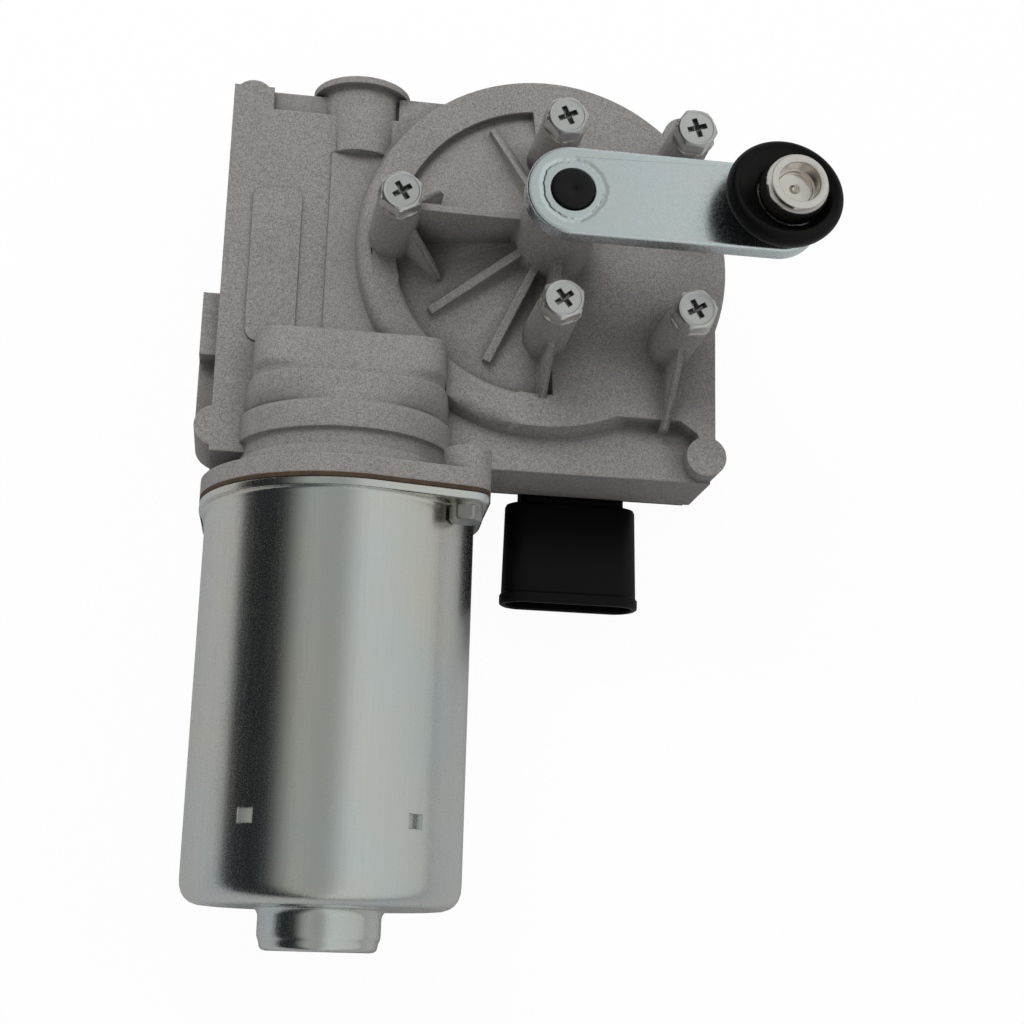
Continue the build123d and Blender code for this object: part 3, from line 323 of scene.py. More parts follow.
@dataclass(frozen=True)
class ZincPlate(Finish):
    """Zinc-plated steel with a bluish and a straw-coloured bloom, fine rubbing marks and, where asked for,
    painted shade in its recesses.
    """

    bloom: Triple = (0.70, 0.66, 0.55)
    streak: Triple = (1.0, 1.0, 1.0)
    bloom_mm: float = 22.0
    clouds: float = 2.4
    worn: float = 0.35
    worn_shade: float = 0.72
    # how far and how dark the painted shade in recesses is; none when the reach is 0
    shade_reach_mm: float = 0.0
    painted_shade: float = 0.1

    def mixed(self, recipe: Recipe) -> Skin:
        """Writes the nodes of the finish.

        Args:
            recipe: The material under construction.

        Returns:
            What the shader takes.
        """
        rounded = recipe.soft_edges(self.edge_mm)
        streaks = recipe.noise(1.0, 4.0, recipe.place(self.streak))
        grain = recipe.noise(self.grain_mm, 3.0)
        tint = recipe.noise(self.bloom_mm, 3.0).contrast(self.clouds)
        colour = recipe.mix(tint, self.colour, self.bloom)
        colour = recipe.mix((streaks - 0.35).clamped() * self.worn, colour, self.shade(self.worn_shade))
        # painted shade: ambient occlusion darkens recesses, such as a screw's cross recess
        if self.shade_reach_mm:
            colour = recipe.mix(recipe.shade_mask(self.shade_reach_mm), self.shade(self.painted_shade), colour)
        marks = ((streaks - 0.5) * self.worn * 0.6 + (grain - 0.5) * 0.25 + self.roughness).clamped()
        return colour, marks, grain * 0.6 + streaks * 0.4, rounded


@dataclass(frozen=True)
class Moulding(Finish):
    """Moulded plastic or rubber with a fine spark-eroded grain and dusty edges."""

    dust: Triple = (0.06, 0.06, 0.06)
    edge_gain: float = 3.0

    def mixed(self, recipe: Recipe) -> Skin:
        """Writes the nodes of the finish.

        Args:
            recipe: The material under construction.

        Returns:
            What the shader takes.
        """
        rounded = recipe.soft_edges(self.edge_mm)
        grain = recipe.noise(self.grain_mm, 3.0)
        slow = recipe.noise(self.mottle_mm, 3.0)
        base = self.shades(recipe, slow, 0.8, 1.25)
        colour = recipe.mix(recipe.edge_mask(rounded, self.edge_gain) * 0.5, base, self.dust)
        roughness = (slow * 0.16 + grain * 0.1 + (self.roughness - 0.13)).clamped()
        return colour, roughness, grain, rounded


@dataclass(frozen=True)
class Laminated(Finish):
    """A pack of thin steel sheets along the motor axis."""

    sheet_mm: float = 0.65

    def mixed(self, recipe: Recipe) -> Skin:
        """Writes the nodes of the finish.

        Args:
            recipe: The material under construction.

        Returns:
            Its colour, its roughness and its relief, which starts from the true normal.
        """
        inputs = {"Vector": recipe.place(), "Scale": 1.0 / (self.sheet_mm * MM) / math.tau * 2.0}
        sheets = recipe.node("TexWave", {"bands_direction": "Y"}, inputs, "Fac")
        return self.shades(recipe, sheets, 0.6, 1.3), self.roughness, sheets, None


class Palette:
    """Every finish of the motor, named for what it is on."""

    CAST_CASE = Casting("cast_case", (0.420, 0.396, 0.384), 0.7, 0.1, 0.30, 0.16, 14.0, edge_mm=0.6,
        gloss=0.25)
    CAN = ZincPlate("can_zinc", (0.69, 0.755, 0.765), 0.25, 1.0, 0.35, 0.0015, edge_mm=0.4,
        bloom=(0.77, 0.745, 0.68), streak=(1.6, 0.07, 1.6), bloom_mm=26.0, worn=0.2)
    ARM = ZincPlate("arm_zinc", (0.80, 0.90, 0.95), 0.27, 1.0, 0.5, 0.006, edge_mm=0.3,
        bloom=(0.84, 0.89, 0.89), streak=(0.5, 0.9, 0.5), bloom_mm=14.0, worn=0.2)
    # the screws' cross recesses get painted shade from ambient occlusion
    SCREW = ZincPlate("screw_zinc", (0.80, 0.82, 0.83), 0.36, 1.0, 0.4, 0.012, edge_mm=0.2,
        bloom=(0.78, 0.77, 0.74), streak=(0.9, 0.9, 0.9), bloom_mm=6.0, shade_reach_mm=2.6)
    BURR = ZincPlate("torn_metal", (0.62, 0.60, 0.57), 0.42, 1.0, 0.5, 0.03, edge_mm=0.15,
        bloom=(0.55, 0.52, 0.48), streak=(3.0, 3.0, 3.0), bloom_mm=3.0)
    BOLT = ZincPlate("bolt_zinc", (0.40, 0.41, 0.42), 0.36, 1.0, 0.4, 0.012, edge_mm=0.2,
        bloom=(0.46, 0.45, 0.42), streak=(0.9, 0.9, 0.9), bloom_mm=6.0)
    BALL = ZincPlate("ball_nickel", (0.80, 0.74, 0.67), 0.12, 1.0, 0.3, 0.002, edge_mm=0.15,
        bloom=(0.84, 0.81, 0.77), streak=(0.6, 0.6, 0.6), bloom_mm=9.0)
    SHAFT_END = Finish("shaft_black", (0.006, 0.006, 0.007), 0.46, 0.0, 0.5, 0.05, gloss=0.3)
    CAP = Moulding("cap_rubber", (0.0035, 0.0035, 0.0035), 0.45, 0.0, 0.35, 0.015, 5.0, gloss=0.2,
        dust=(0.02, 0.02, 0.02))
    SEAL = Moulding("seal_rubber", (0.014, 0.014, 0.014), 0.6, 0.0, 0.4, 0.02)
    SOCKET = Moulding("socket_plastic", (0.004, 0.004, 0.005), 0.4, 0.0, 0.25, 0.012, 9.0, gloss=0.15,
        dust=(0.03, 0.03, 0.03))
    COVER = Moulding("cover_plastic", (0.014, 0.014, 0.015), 0.5, 0.0, 0.3, 0.02, 12.0)
    GASKET = Finish("gasket_fibre", (0.105, 0.070, 0.046), 0.9, 0.0, 0.5, 0.08, 3.0, 0.5)
    WHEEL = Finish("wheel_plastic", (0.76, 0.74, 0.68), 0.42, 0.0, 0.5, 0.01)
    BRONZE = Finish("bush_bronze", (0.42, 0.27, 0.12), 0.45, 0.9, 0.25, 0.02)
    COPPER = Finish("copper", (0.62, 0.28, 0.14), 0.35, 1.0, 0.5, 0.02)
    BRASS = Finish("brass", (0.68, 0.50, 0.22), 0.3, 1.0, 0.4, 0.01)
    HUB = Finish("hub_steel", (0.45, 0.45, 0.46), 0.35, 1.0, 0.4, 0.01)
    IRON = Laminated("stack_iron", (0.22, 0.22, 0.23), 0.5, 0.8, grain_depth=0.05)
    FERRITE = Finish("ferrite", (0.06, 0.06, 0.065), 0.6, 0.2, 0.3, 0.02)
    CARBON = Finish("brush_carbon", (0.035, 0.035, 0.037), 0.55, 0.1, 0.3, 0.02)
    PLATE = Moulding("plate_plastic", (0.05, 0.035, 0.025), 0.5)
    BOARD = Finish("board_laminate", (0.03, 0.13, 0.06), 0.35, 0.0, 1.2, 0.01)
    CHIP = Moulding("board_black", (0.02, 0.02, 0.02), 0.5)


DRESSED = {
    Palette.CAST_CASE: "gear_housing",
    Palette.CAN: "motor_can",
    Palette.SCREW: "bush_clip flange_bolts mounting_screws cover_screws board_screws brush_springs "
                   "spacer_washer",
    Palette.ARM: "crank_arm",
    Palette.SHAFT_END: "output_shaft",
    Palette.BALL: "ball_stud",
    Palette.CAP: "ball_cap",
    Palette.SEAL: "shaft_seal cover_seal",
    Palette.SOCKET: "connector_housing",
    Palette.COVER: "rear_cover",
    Palette.GASKET: "motor_gasket",
    Palette.WHEEL: "worm_wheel",
    Palette.BRONZE: "shaft_bush_lower shaft_bush_upper worm_end_bush armature_bearing can_bush",
    Palette.COPPER: "windings commutator chokes",
    Palette.BRASS: "brush_boxes connector_pins",
    Palette.HUB: "end_plug thrust_washer wheel_hub armature_shaft",
    Palette.IRON: "lamination_stack",
    Palette.FERRITE: "magnets position_magnet",
    Palette.CARBON: "brushes",
    Palette.PLATE: "worm_thrust_pad can_thrust_disc brush_plate",
    Palette.BOARD: "circuit_board",
    Palette.CHIP: "board_parts",
}


@dataclass(frozen=True)
class Outline:
    """A closed outline round a centre, given by its distance at each angle. This one is a circle."""

    radius: float
    x: float = 0.0
    y: float = 0.0

    def reach(self, turn: float) -> float:
        """The outline's distance from its centre in millimetres, at an angle in radians."""
        return self.radius

    def at(self, turn: float) -> Point:
        """The outline's point at an angle."""
        reach = self.reach(turn)
        return self.x + reach * math.cos(turn), self.y + reach * math.sin(turn)

    def grown(self, margin: float) -> "Outline":
        """The same outline with its radius made larger."""
        return replace(self, radius=self.radius + margin)


def off_nearest(turn: float, count: int) -> float:
    """The angle from the nearest of some evenly spread directions."""
    pitch = math.tau / count
    return (turn + pitch / 2) % pitch - pitch / 2


@dataclass(frozen=True)
class Hexagon(Outline):
    """A hexagon whose radius is to its flats, cut back to a circle at its corners."""

    corner: float = math.inf
    turned: float = 0.0

    def reach(self, turn: float) -> float:
        """The distance to the flat, or to the circle that cuts the corner."""
        off = off_nearest(turn - self.turned, 6)
        return min(self.radius / math.cos(off), self.corner)


@dataclass(frozen=True)
class Cross(Outline):
    """The outline of a cross recess: its radius is half the span, and its arms have a half width."""

    half_width: float = 0.6
    turned: float = 0.0

    def reach(self, turn: float) -> float:
        """The distance to the end or to the side of the nearest arm."""
        off = off_nearest(turn - self.turned, 4)
        return min(self.radius / math.cos(off), self.half_width / max(abs(math.sin(off)), TINY))


@dataclass(frozen=True)
class Wavy(Outline):
    """A circle with teeth or with uneven edges, as a sum of waves of count, height and phase."""

    waves: tuple[Triple, ...] = ()

    def reach(self, turn: float) -> float:
        """The radius with its waves."""
        return self.radius + sum(high * math.sin(count * turn + phase) for count, high, phase in self.waves)


@dataclass(frozen=True)
class Squircle(Outline):
    """A rounded box: its radius is the half width, and a power of 2 makes it an ellipse."""

    high: float = 1.0
    low: float = 1.0
    square: float = 2.0

    def reach(self, turn: float) -> float:
        """The distance to the rounded box.

        Args:
            turn: The angle in radians.

        Returns:
            The distance in millimetres.
        """
        across, along = math.cos(turn), math.sin(turn)
        tall = self.low if along > 0 else self.high
        parts = abs(across / self.radius), abs(along / tall)
        return sum(part**self.square for part in parts) ** (-1.0 / self.square)


@dataclass(frozen=True)
class Hull(Outline):
    """The line drawn tight round several circles, whose radius is a margin added to each."""

    circles: tuple[Outline, ...] = ()

    def at(self, turn: float) -> Point:
        """The point whose outward normal has the angle.

        Args:
            turn: The angle in radians.

        Returns:
            The point in millimetres.
        """
        across, along = math.cos(turn), math.sin(turn)
        far = max(self.circles, key=lambda c: c.x * across + c.y * along + c.radius)
        reach = far.radius + self.radius
        return far.x + reach * across, far.y + reach * along


Station = tuple[Outline | float, float]


def rounded(corners: list[Triple], steps: int = 5) -> list[Station]:
    """The stations of a turned section with rounded corners.

    Args:
        corners: Radius, level and the length of edge that the rounding takes up, for each corner.
        steps: How many faces a rounding has.

    Returns:
        The radius and the level of each station.
    """
    line: list[Station] = []
    for index, (radius, level, cut) in enumerate(corners):
        here = Vector((radius, level))
        if cut == 0.0 or index in (0, len(corners) - 1):
            line.append((radius, level))
            continue
        sides = [Vector(corners[index + step][:2]) - here for step in (-1, 1)]
        start, end = [here + side.normalized() * min(cut, side.length * 0.5) for side in sides]
        for step in range(steps + 1):
            part = step / steps
            spot = start * (1 - part) ** 2 + here * (2 * part * (1 - part)) + end * part**2
            line.append((spot.x, spot.y))
    return line


def loft(stations: list[Station], count: int = 96) -> Shape:
    """A skin through a row of outlines, drawn on from one to the next.

    Args:
        stations: Each outline, or a circle's radius, with its level along the Z axis.
        count: How many points each outline has.

    Returns:
        The skin, closed where it starts and ends on the axis or where its ends meet.
    """
    mesh = bmesh.new()
    place = mesh.verts.layers.int.new("place")
    first = bmesh.ops.create_circle(mesh, segments=count, radius=1.0)["verts"]
    for index, vert in enumerate(first):
        vert[place] = index
    edges = list(mesh.edges)
    for number, (shape, level) in enumerate(stations):
        outline = shape if isinstance(shape, Outline) else Outline(shape)
        if number:
            grown = bmesh.ops.extrude_edge_only(mesh, edges=edges)["geom"]
            edges = [part for part in grown if isinstance(part, bmesh.types.BMEdge)]
        for vert in {vert for edge in edges for vert in edge.verts}:
            x, y = outline.at(math.tau * vert[place] / count)
            vert.co = (x * MM, y * MM, level * MM)
    bmesh.ops.remove_doubles(mesh, verts=mesh.verts, dist=TINY)
    return mesh


def shifted(mesh: Shape, x: float, y: float = 0.0) -> Shape:
    """Moves a piece by millimetres and hands it back."""
    bmesh.ops.translate(mesh, verts=mesh.verts, vec=(x * MM, y * MM, 0))
    return mesh


def laid(mesh: Shape, place: Triple = (AXIS_X, 0.0, AXIS_Z), turn: float = -90.0) -> Shape:
    """Lays a piece from the Z axis along Y, by default on the motor axis, where its levels run along +Y.

    Args:
        mesh: The piece.
        place: Where its origin goes, in millimetres.
        turn: The turn about the X axis in degrees.

    Returns:
        The same piece.
    """
    move = Matrix.Translation([part * MM for part in place]) @ Matrix.Rotation(math.radians(turn), 4, "X")
    bmesh.ops.transform(mesh, matrix=move, verts=mesh.verts)
    return mesh


def joined(meshes: list[Shape]) -> Shape:
    """Puts several pieces into one.

    Args:
        meshes: The pieces, which are used up.

    Returns:
        The joined piece.
    """
    whole = bmesh.new()
    for mesh in meshes:
        part = bpy.data.meshes.new("part")
        mesh.to_mesh(part)
        mesh.free()
        whole.from_mesh(part)
        bpy.data.meshes.remove(part)
    return whole


def added(name: str, data: bpy.types.ID) -> bpy.types.Object:
    """Puts new data into the scene.

    Args:
        name: The object's name.
        data: Its mesh, lamp or camera.

    Returns:
        The object.
    """
    made = bpy.data.objects.new(name, data)
    bpy.context.scene.collection.objects.link(made)
    return made


def publish(mesh: Shape, name: str, finish: Finish, body: Body, nodes: tuple[str, ...],
            smooth: float) -> bpy.types.Object:
    """Turns a finished piece into an object that rides on its body.

    Args:
        mesh: The piece, which is used up.
        name: The object's name.
        finish: Its finish.
        body: The body that carries it.
        nodes: The CAD nodes that it stands for.
        smooth: The angle in degrees up to which edges are shaded smooth.

    Returns:
        The object.
    """
    bmesh.ops.recalc_face_normals(mesh, faces=mesh.faces)
    data = bpy.data.meshes.new(name)
    mesh.to_mesh(data)
    mesh.free()
    data.shade_smooth()
    data.set_sharp_from_angle(angle=math.radians(smooth))
    data.materials.append(finish.material())
    made = added(name, data)
    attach(made, body.value)
    if nodes:
        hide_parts(*nodes)
    log.info("made %s with %d faces", name, len(data.polygons))
    return made


@dataclass(frozen=True)
class Rim:
    """The free left part of a round edge of the lid, between two angles in degrees."""

    radius: float
    rounding: float
    start: float
    end: float = 262.0
    level: float = -23.0
    near: float = 0.1

    def holds(self, spot: Vector) -> bool:
        """Whether a point in metres lies on the rim."""
        x, y, z = spot / MM
        off = max(abs(math.hypot(x, y) - self.radius), abs(z - self.level))
        return off < self.near and self.start < math.degrees(math.atan2(y, x)) % 360 < self.end


@dataclass(frozen=True)
class CastCase:
    """The gear case with its edges really rounded. Its neck is a piece of its own."""

    edge: float = 0.45
    sharp: float = 28.0
    rims: tuple[Rim, ...] = (Rim(46.0, 2.4, 148.0), Rim(37.8, 1.6, 193.0))
    neck_from: float = -27.9
    neck_to: float = -62.5
    neck_out: float = 34.0
    neck_parts: tuple[Triple, ...] = (
        # the place along the axis down to which the row holds, the inner radius and the half width
        (-28.05, 5.0, 23.5),
        (-41.0, 18.0, 23.5),
        (-46.85, 24.3, 25.35),
        (-math.inf, 24.3, 26.7),
    )

    def rounds(self, mesh: Shape, chosen: set[bmesh.types.BMEdge], size: float, steps: int,
               wide: bool = False) -> None:
        """Rounds some edges, except where a neighbouring edge is too short for it.

        Args:
            mesh: The case.
            chosen: The edges.
            size: How much of each side the rounding takes, in millimetres.
            steps: How many faces the rounding has.
            wide: Whether the rounding is wider than the edges of the row are long.
        """
        least = size * 1.1 * MM
        own = chosen if wide else set()
        beside = [(edge, {o for v in edge.verts for o in v.link_edges if o not in own}) for edge in chosen]
        free = [edge for edge, others in beside if all(o.calc_length() > least for o in others)]
        bmesh.ops.bevel(mesh, geom=free, offset=size * MM, segments=steps, profile=0.5, affect="EDGES",
                        clamp_overlap=not wide, material=-1)

    def on_neck(self, spot: Vector) -> bool:
        """Whether a point lies on the outside of the neck, which the neck's own piece shows.

        Args:
            spot: The point in metres.

        Returns:
            Whether it does.
        """
        x, y, z = spot / MM
        inner, side = next((inner, side) for down_to, inner, side in self.neck_parts if y > down_to)
        along = self.neck_to < y < self.neck_from
        return along and inner < math.hypot(x - AXIS_X, z - AXIS_Z) < self.neck_out and abs(x - AXIS_X) < side

    def build(self) -> None:
        """Makes the case."""
        mesh = bmesh.new()
        mesh.from_mesh(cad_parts["gear_housing"].data)
        bmesh.ops.remove_doubles(mesh, verts=mesh.verts, dist=2 * TINY)
        bmesh.ops.dissolve_limit(mesh, angle_limit=math.radians(1.0), verts=mesh.verts, edges=mesh.edges)
        for rim in self.rims:
            chosen = {edge for edge in mesh.edges if all(rim.holds(v.co) for v in edge.verts)}
            self.rounds(mesh, chosen, rim.rounding, 6, wide=True)
        steep = {e for e in mesh.edges if e.is_manifold and e.calc_face_angle(0.0) > math.radians(self.sharp)}
        self.rounds(mesh, steep, self.edge, 2)
        neck = [face for face in mesh.faces if all(self.on_neck(v.co) for v in face.verts)]
        bmesh.ops.delete(mesh, geom=neck, context="FACES")
        case = publish(mesh, "cast_case", Palette.CAST_CASE, Body.CASE, ("gear_housing",), 60.0)
        even = case.modifiers.new("even_normals", "WEIGHTED_NORMAL")
        even.keep_sharp = True
        even.weight = 100


@dataclass(frozen=True)
class CastNeck:
    """The outside of the neck: a soft-cornered block that grows into the turned collars and the flange."""

    block: float = 23.35
    low: float = 14.15
    crest: float = 20.4
    skin: float = 1.6
    lead: int = 4

    def build(self) -> None:
        """Makes the neck as a thin skin whose inner side lies within the case."""
        line = [
            # place along the axis, half width, upper half height, lower half height, squareness
            (-27.95, self.block - 1.3, 6.0, self.low - 1.3, 8.0),
            (-27.95, self.block - 1.3, self.crest - 1.3, self.low - 1.3, 8.0),
            (-27.95, self.block - 0.7, self.crest - 0.8, self.low - 0.7, 8.0),
            (-28.15, self.block - 0.25, self.crest - 0.2, self.low - 0.3, 8.0),
            (-28.7, self.block, self.crest + 0.1, self.low, 6.5),
            (-31.5, self.block, 21.3, self.low, 6.0),
            (-34.5, self.block + 0.05, 22.1, self.low, 5.6),
            (-36.4, self.block + 0.1, 22.6, self.low, 5.3),
            (-37.2, self.block + 0.15, 22.85, self.low, 4.7),
            (-37.9, self.block + 0.2, 23.05, self.low, 4.0),
            (-38.5, self.block + 0.35, 23.2, self.low, 3.6),
            (-39.3, self.block + 0.6, 23.4, self.low, 3.4),
            (-39.6, 24.1, 23.6, 14.2, 3.3),
            (-39.7, 24.3, 24.7, 20.0, 3.2),
            (-39.95, 24.5, 25.2, 24.9, 3.1),
            (-40.7, 24.7, 25.3, 25.2, 3.0),
            (-43.0, 25.1, 25.3, 25.3, 2.7),
            (-46.5, 25.4, 25.35, 25.3, 2.3),
            (-46.9, 25.5, 25.5, 25.5, 2.1),
            (-47.05, 26.0, 26.1, 26.1, 2.06),
            (-47.4, 26.5, 26.5, 26.5, 2.03),
        ]
        collars = [
            # place along the axis and radius
            (-48.5, 26.55), (-53.0, 26.55), (-53.8, 26.4), (-54.1, 25.4), (-54.5, 25.15), (-57.6, 25.15),
            (-57.8, 25.8), (-58.1, 26.0), (-60.5, 26.4), (-62.2, 27.2), (-62.9, 28.6),
        ]
        line += [(y, radius, radius, radius, 2.0) for y, radius in collars]
        stations = [
            (Squircle(wide - skin, 0, 0, high - skin, low - skin, square), y)
            for rows, skin in ((line, 0.0), (line[self.lead :][::-1], self.skin))
            for y, wide, high, low, square in rows
        ]
        neck = loft([*stations, stations[0]], 192)
        publish(laid(neck), "neck", Palette.CAST_CASE, Body.CASE, (), 50.0)


@dataclass(frozen=True)
class BossBurrs:
    """The torn collars of bright metal where the mounting screws were driven in."""

    places: tuple[Point, ...] = ((-38.7, 0), (0, 23.2), (31.7, 23.2), (0, -23.2), (31.7, -23.2))
    radius: float = 5.3
    height: float = 0.7
    rag: float = 0.55
    rag_size: float = 1.6

    def build(self) -> None:
        """Makes the five collars."""
        rings = []
        for index, (x, y) in enumerate(self.places):
            torn = Wavy(self.radius, waves=((3, 0.16, index), (7, 0.1, 2.0 * index), (17, 0.07, 3.0 * index)))
            stations = [
                (self.radius - 0.5, -0.5), (self.radius - 0.1, -0.3), (torn, 0.1),
                (torn.grown(-0.1), self.height), (self.radius - 0.6, self.height + 0.1),
                (self.radius - 0.9, self.height - 0.2), (self.radius - 0.5, -0.5),
            ]
            ring = shifted(loft(stations, 120), x, y)
            for vert in ring.verts:
                if vert.co.z > 0.05 * MM:
                    vert.co.z += noise.noise(vert.co / (self.rag_size * MM)) * self.rag * MM
            rings.append(ring)
        publish(joined(rings), "boss_burrs", Palette.BURR, Body.CASE, (), 24.0)


@dataclass(frozen=True)
class MountingScrews:
    """Five screws: a collar, a hexagon, a round chamfered top and a cross recess."""

    recesses: tuple[int, ...] = (9, 7, 5, 10, 8)  # how many steps each recess is turned
    step: float = 3.75
    across: float = 9.4
    corner: float = 5.25
    chamfer: float = 4.85
    shank: float = 3.0
    grip: float = 14.0
    collar: float = 4.95
    collar_high: float = 0.9
    flat_high: float = 4.1
    high: float = 5.0
    top: float = 4.35
    span: float = 4.9
    depth: float = 2.3

    def build(self) -> None:
        """Makes the five screws."""
        screws = []
        step = math.radians(self.step)
        for index, ((x, y), recess) in enumerate(zip(BossBurrs.places, self.recesses)):
            turned = recess * step
            hexed = Hexagon(self.across / 2, 0, 0, self.corner, turned * 1.7 + index)
            cross = Cross(self.span / 2, 0, 0, self.span / 2 * math.tan(4 * step), turned)
            inner = Cross(self.span / 2 * 0.86, 0, 0, self.span / 2 * 0.8 * math.tan(4 * step), turned)
            stations = [
                (0, -self.grip), (self.shank - 0.5, -self.grip), (self.shank, -self.grip + 0.5),
                (self.shank, 0), (self.collar, 0), (self.collar, self.collar_high - 0.2),
                (self.collar - 0.2, self.collar_high), (hexed, self.collar_high + 0.02),
                (hexed, self.flat_high),
                (replace(hexed, corner=self.chamfer), self.flat_high + 0.45),
                (self.top + 0.15, self.high - 0.12), (self.top, self.high),
                (self.top - 0.25, self.high), (self.top - 0.4, self.high - 0.1),
                (cross, self.high - 0.1), (inner, self.high - self.depth * 0.75),
                (0, self.high - self.depth),
            ]
            screws.append(shifted(loft(stations), x, y))
        publish(joined(screws), "screws", Palette.SCREW, Body.CASE, ("mounting_screws",), 20.0)


@dataclass(frozen=True)
class CrankArm:
    """The crank: a sheared plate with rolled edges and a coined ring round the shaft."""

    reach: float = 49.3
    end: float = 10.8
    low: float = 8.8
    high: float = 13.8
    roll: float = 0.75
    bore: float = 5.05
    ring: float = 7.4
    ring_depth: float = 0.22

    def build(self) -> None:
        """Makes the arm."""
        plate = Hull(0.0, circles=(Outline(self.end), Outline(self.end, self.reach)))
        ring = Wavy(self.ring, waves=((3, 0.22, 0.4), (5, 0.12, 1.9), (13, 0.07, 0.3), (29, 0.05, 2.2)))
        rolled = []
        for step in range(6):
            turn = math.radians(18.0 * step)
            inset, drop = self.roll * (1 - math.cos(turn)), self.roll * (1 - math.sin(turn))
            rolled.append((plate.grown(-inset), self.high - drop))
        stations = [
            (self.bore, self.low), (plate.grown(-0.3), self.low), (plate, self.low + 0.3),
            *rolled,
            (plate.grown(-self.roll - 0.3), self.high), (ring.grown(0.9), self.high),
            (ring.grown(0.55), self.high), (ring.grown(0.2), self.high - self.ring_depth),
            (ring.grown(-0.2), self.high - self.ring_depth), (ring.grown(-0.5), self.high + 0.06),
            (self.bore + 0.35, self.high + 0.06), (self.bore, self.high - 0.25),
            (self.bore, self.low),
        ]
        arm = loft(stations, 240)
        publish(arm, "crank_arm_plate", Palette.ARM, Body.CRANK, ("crank_arm",), 40.0)


@dataclass(frozen=True)
class OutputShaft:
    """The output shaft, whose knurled end stands proud of the crank and has a centre mark."""

    radius: float = 5.0
    low: float = -44.95
    arm_low: float = CrankArm.low
    top: float = 14.5
    teeth: int = 44
    tooth: float = 0.11

    def build(self) -> None:
        """Makes the shaft."""
        knurl = Wavy(self.radius - self.tooth, waves=((self.teeth, self.tooth, 0.0),))
        stations = [
            (0, self.low), (self.radius - 0.4, self.low), (self.radius, self.low + 0.4),
            (self.radius, self.arm_low), (knurl, self.arm_low + 0.3), (knurl, self.top - 0.35),
            (self.radius - 0.3, self.top - 0.08), (self.radius - 0.5, self.top), (1.0, self.top),
            (0.75, self.top - 0.12), (0, self.top - 0.7),
        ]
        shaft = loft(stations, self.teeth * 4)
        publish(shaft, "shaft", Palette.SHAFT_END, Body.CRANK, ("output_shaft",), 32.0)


@dataclass(frozen=True)
class BallStud:
    """The ball with its flat, its drilled hole and its riveted neck."""

    x: float = CrankArm.reach
    z: float = 24.2
    radius: float = 8.0
    flat: float = 28.8
    hole: float = 4.75
    hole_depth: float = 4.3
    neck: float = 5.0
    rivet: float = 4.0
    head: float = 6.0
    head_high: float = 2.0
    arm_low: float = CrankArm.low
    arm_high: float = CrankArm.high
    steps: int = 40

    def build(self) -> None:
        """Makes the stud."""
        low = math.asin(-math.sqrt(1 - (self.neck / self.radius) ** 2))
        high = math.asin((self.flat - self.z - 0.12) / self.radius)
        turns = [low + (high - low) * step / self.steps for step in range(self.steps + 1)]
        ball = [(self.radius * math.cos(turn), self.z + self.radius * math.sin(turn)) for turn in turns]
        rim = ball[-1][0]
        floor = self.flat - self.hole_depth
        foot = self.arm_low - self.head_high
        hole = [
            (rim - 0.05, self.flat - 0.03, 0), (rim - 0.15, self.flat, 0.05),
            (self.hole + 0.1, self.flat, 0.25), (self.hole, self.flat - 0.5, 0.2),
            (self.hole - 0.05, floor + 0.7, 0.1), (self.hole - 0.55, floor + 0.7, 0.1),
            (self.hole - 0.65, floor, 0.2), (1.1, floor + 0.05, 0.3), (0.7, floor - 0.45, 0.3),
            (0, floor - 0.6, 0),
        ]
        stations = [
            *rounded([(0, foot, 0), (self.head, foot, 1.2), (self.head, self.arm_low, 0)]),
            (self.rivet, self.arm_low), (self.rivet, self.arm_high), (self.neck, self.arm_high),
            *ball,
            *rounded(hole, 3),
        ]
        stud = shifted(loft(stations), self.x)
        publish(stud, "ball", Palette.BALL, Body.CRANK, ("ball_stud",), 30.0)


@dataclass(frozen=True)
class BallCap:
    """The rubber cap, which sits a little aslant and off centre round the ball."""

    x: float = CrankArm.reach
    arm_high: float = CrankArm.high
    foot: float = 9.8
    radius: float = 13.8
    band_low: float = 20.6
    top: float = 24.6
    lip: float = 7.95
    lip_z: float = 22.2
    lean: float = 8.5
    shift: float = -1.4
    ease: float = 3.0

    def build(self) -> None:
        """Makes the cap and leans everything above its foot."""
        corners = [
            (self.foot - 2.0, self.arm_high, 0), (self.foot, self.arm_high, 0.5),
            (self.foot + 0.6, self.arm_high + 2.5, 1.5), (self.radius, self.band_low, 1.6),
            (self.radius, self.top - 1.4, 1.3), (self.radius - 1.5, self.top, 0.9),
            (self.radius - 2.6, self.top - 0.7, 0.9), (self.lip + 1.4, self.lip_z + 0.5, 1.0),
            (self.lip, self.lip_z, 0.5), (self.lip, self.lip_z - 1.0, 0.5),
            (self.foot - 2.0, self.arm_high, 0),
        ]
        cap = loft(rounded(corners, 6), 128)
        middle = (self.band_low + self.top) / 2
        lean = math.radians(self.lean)
        for vert in cap.verts:
            out = (math.hypot(vert.co.x, vert.co.y) / MM - self.lip) / self.ease
            up = (vert.co.z / MM - self.arm_high) / (self.band_low - self.arm_high)
            part = min(1.0, max(0.0, out)) * max(0.0, min(1.0, up))
            vert.co.z += part * math.tan(-lean) * vert.co.y
            vert.co.y += part * math.sin(lean) * (vert.co.z - middle * MM)
            vert.co.x += (self.x + part * self.shift) * MM
        publish(cap, "cap", Palette.CAP, Body.CRANK, ("ball_cap",), 40.0)


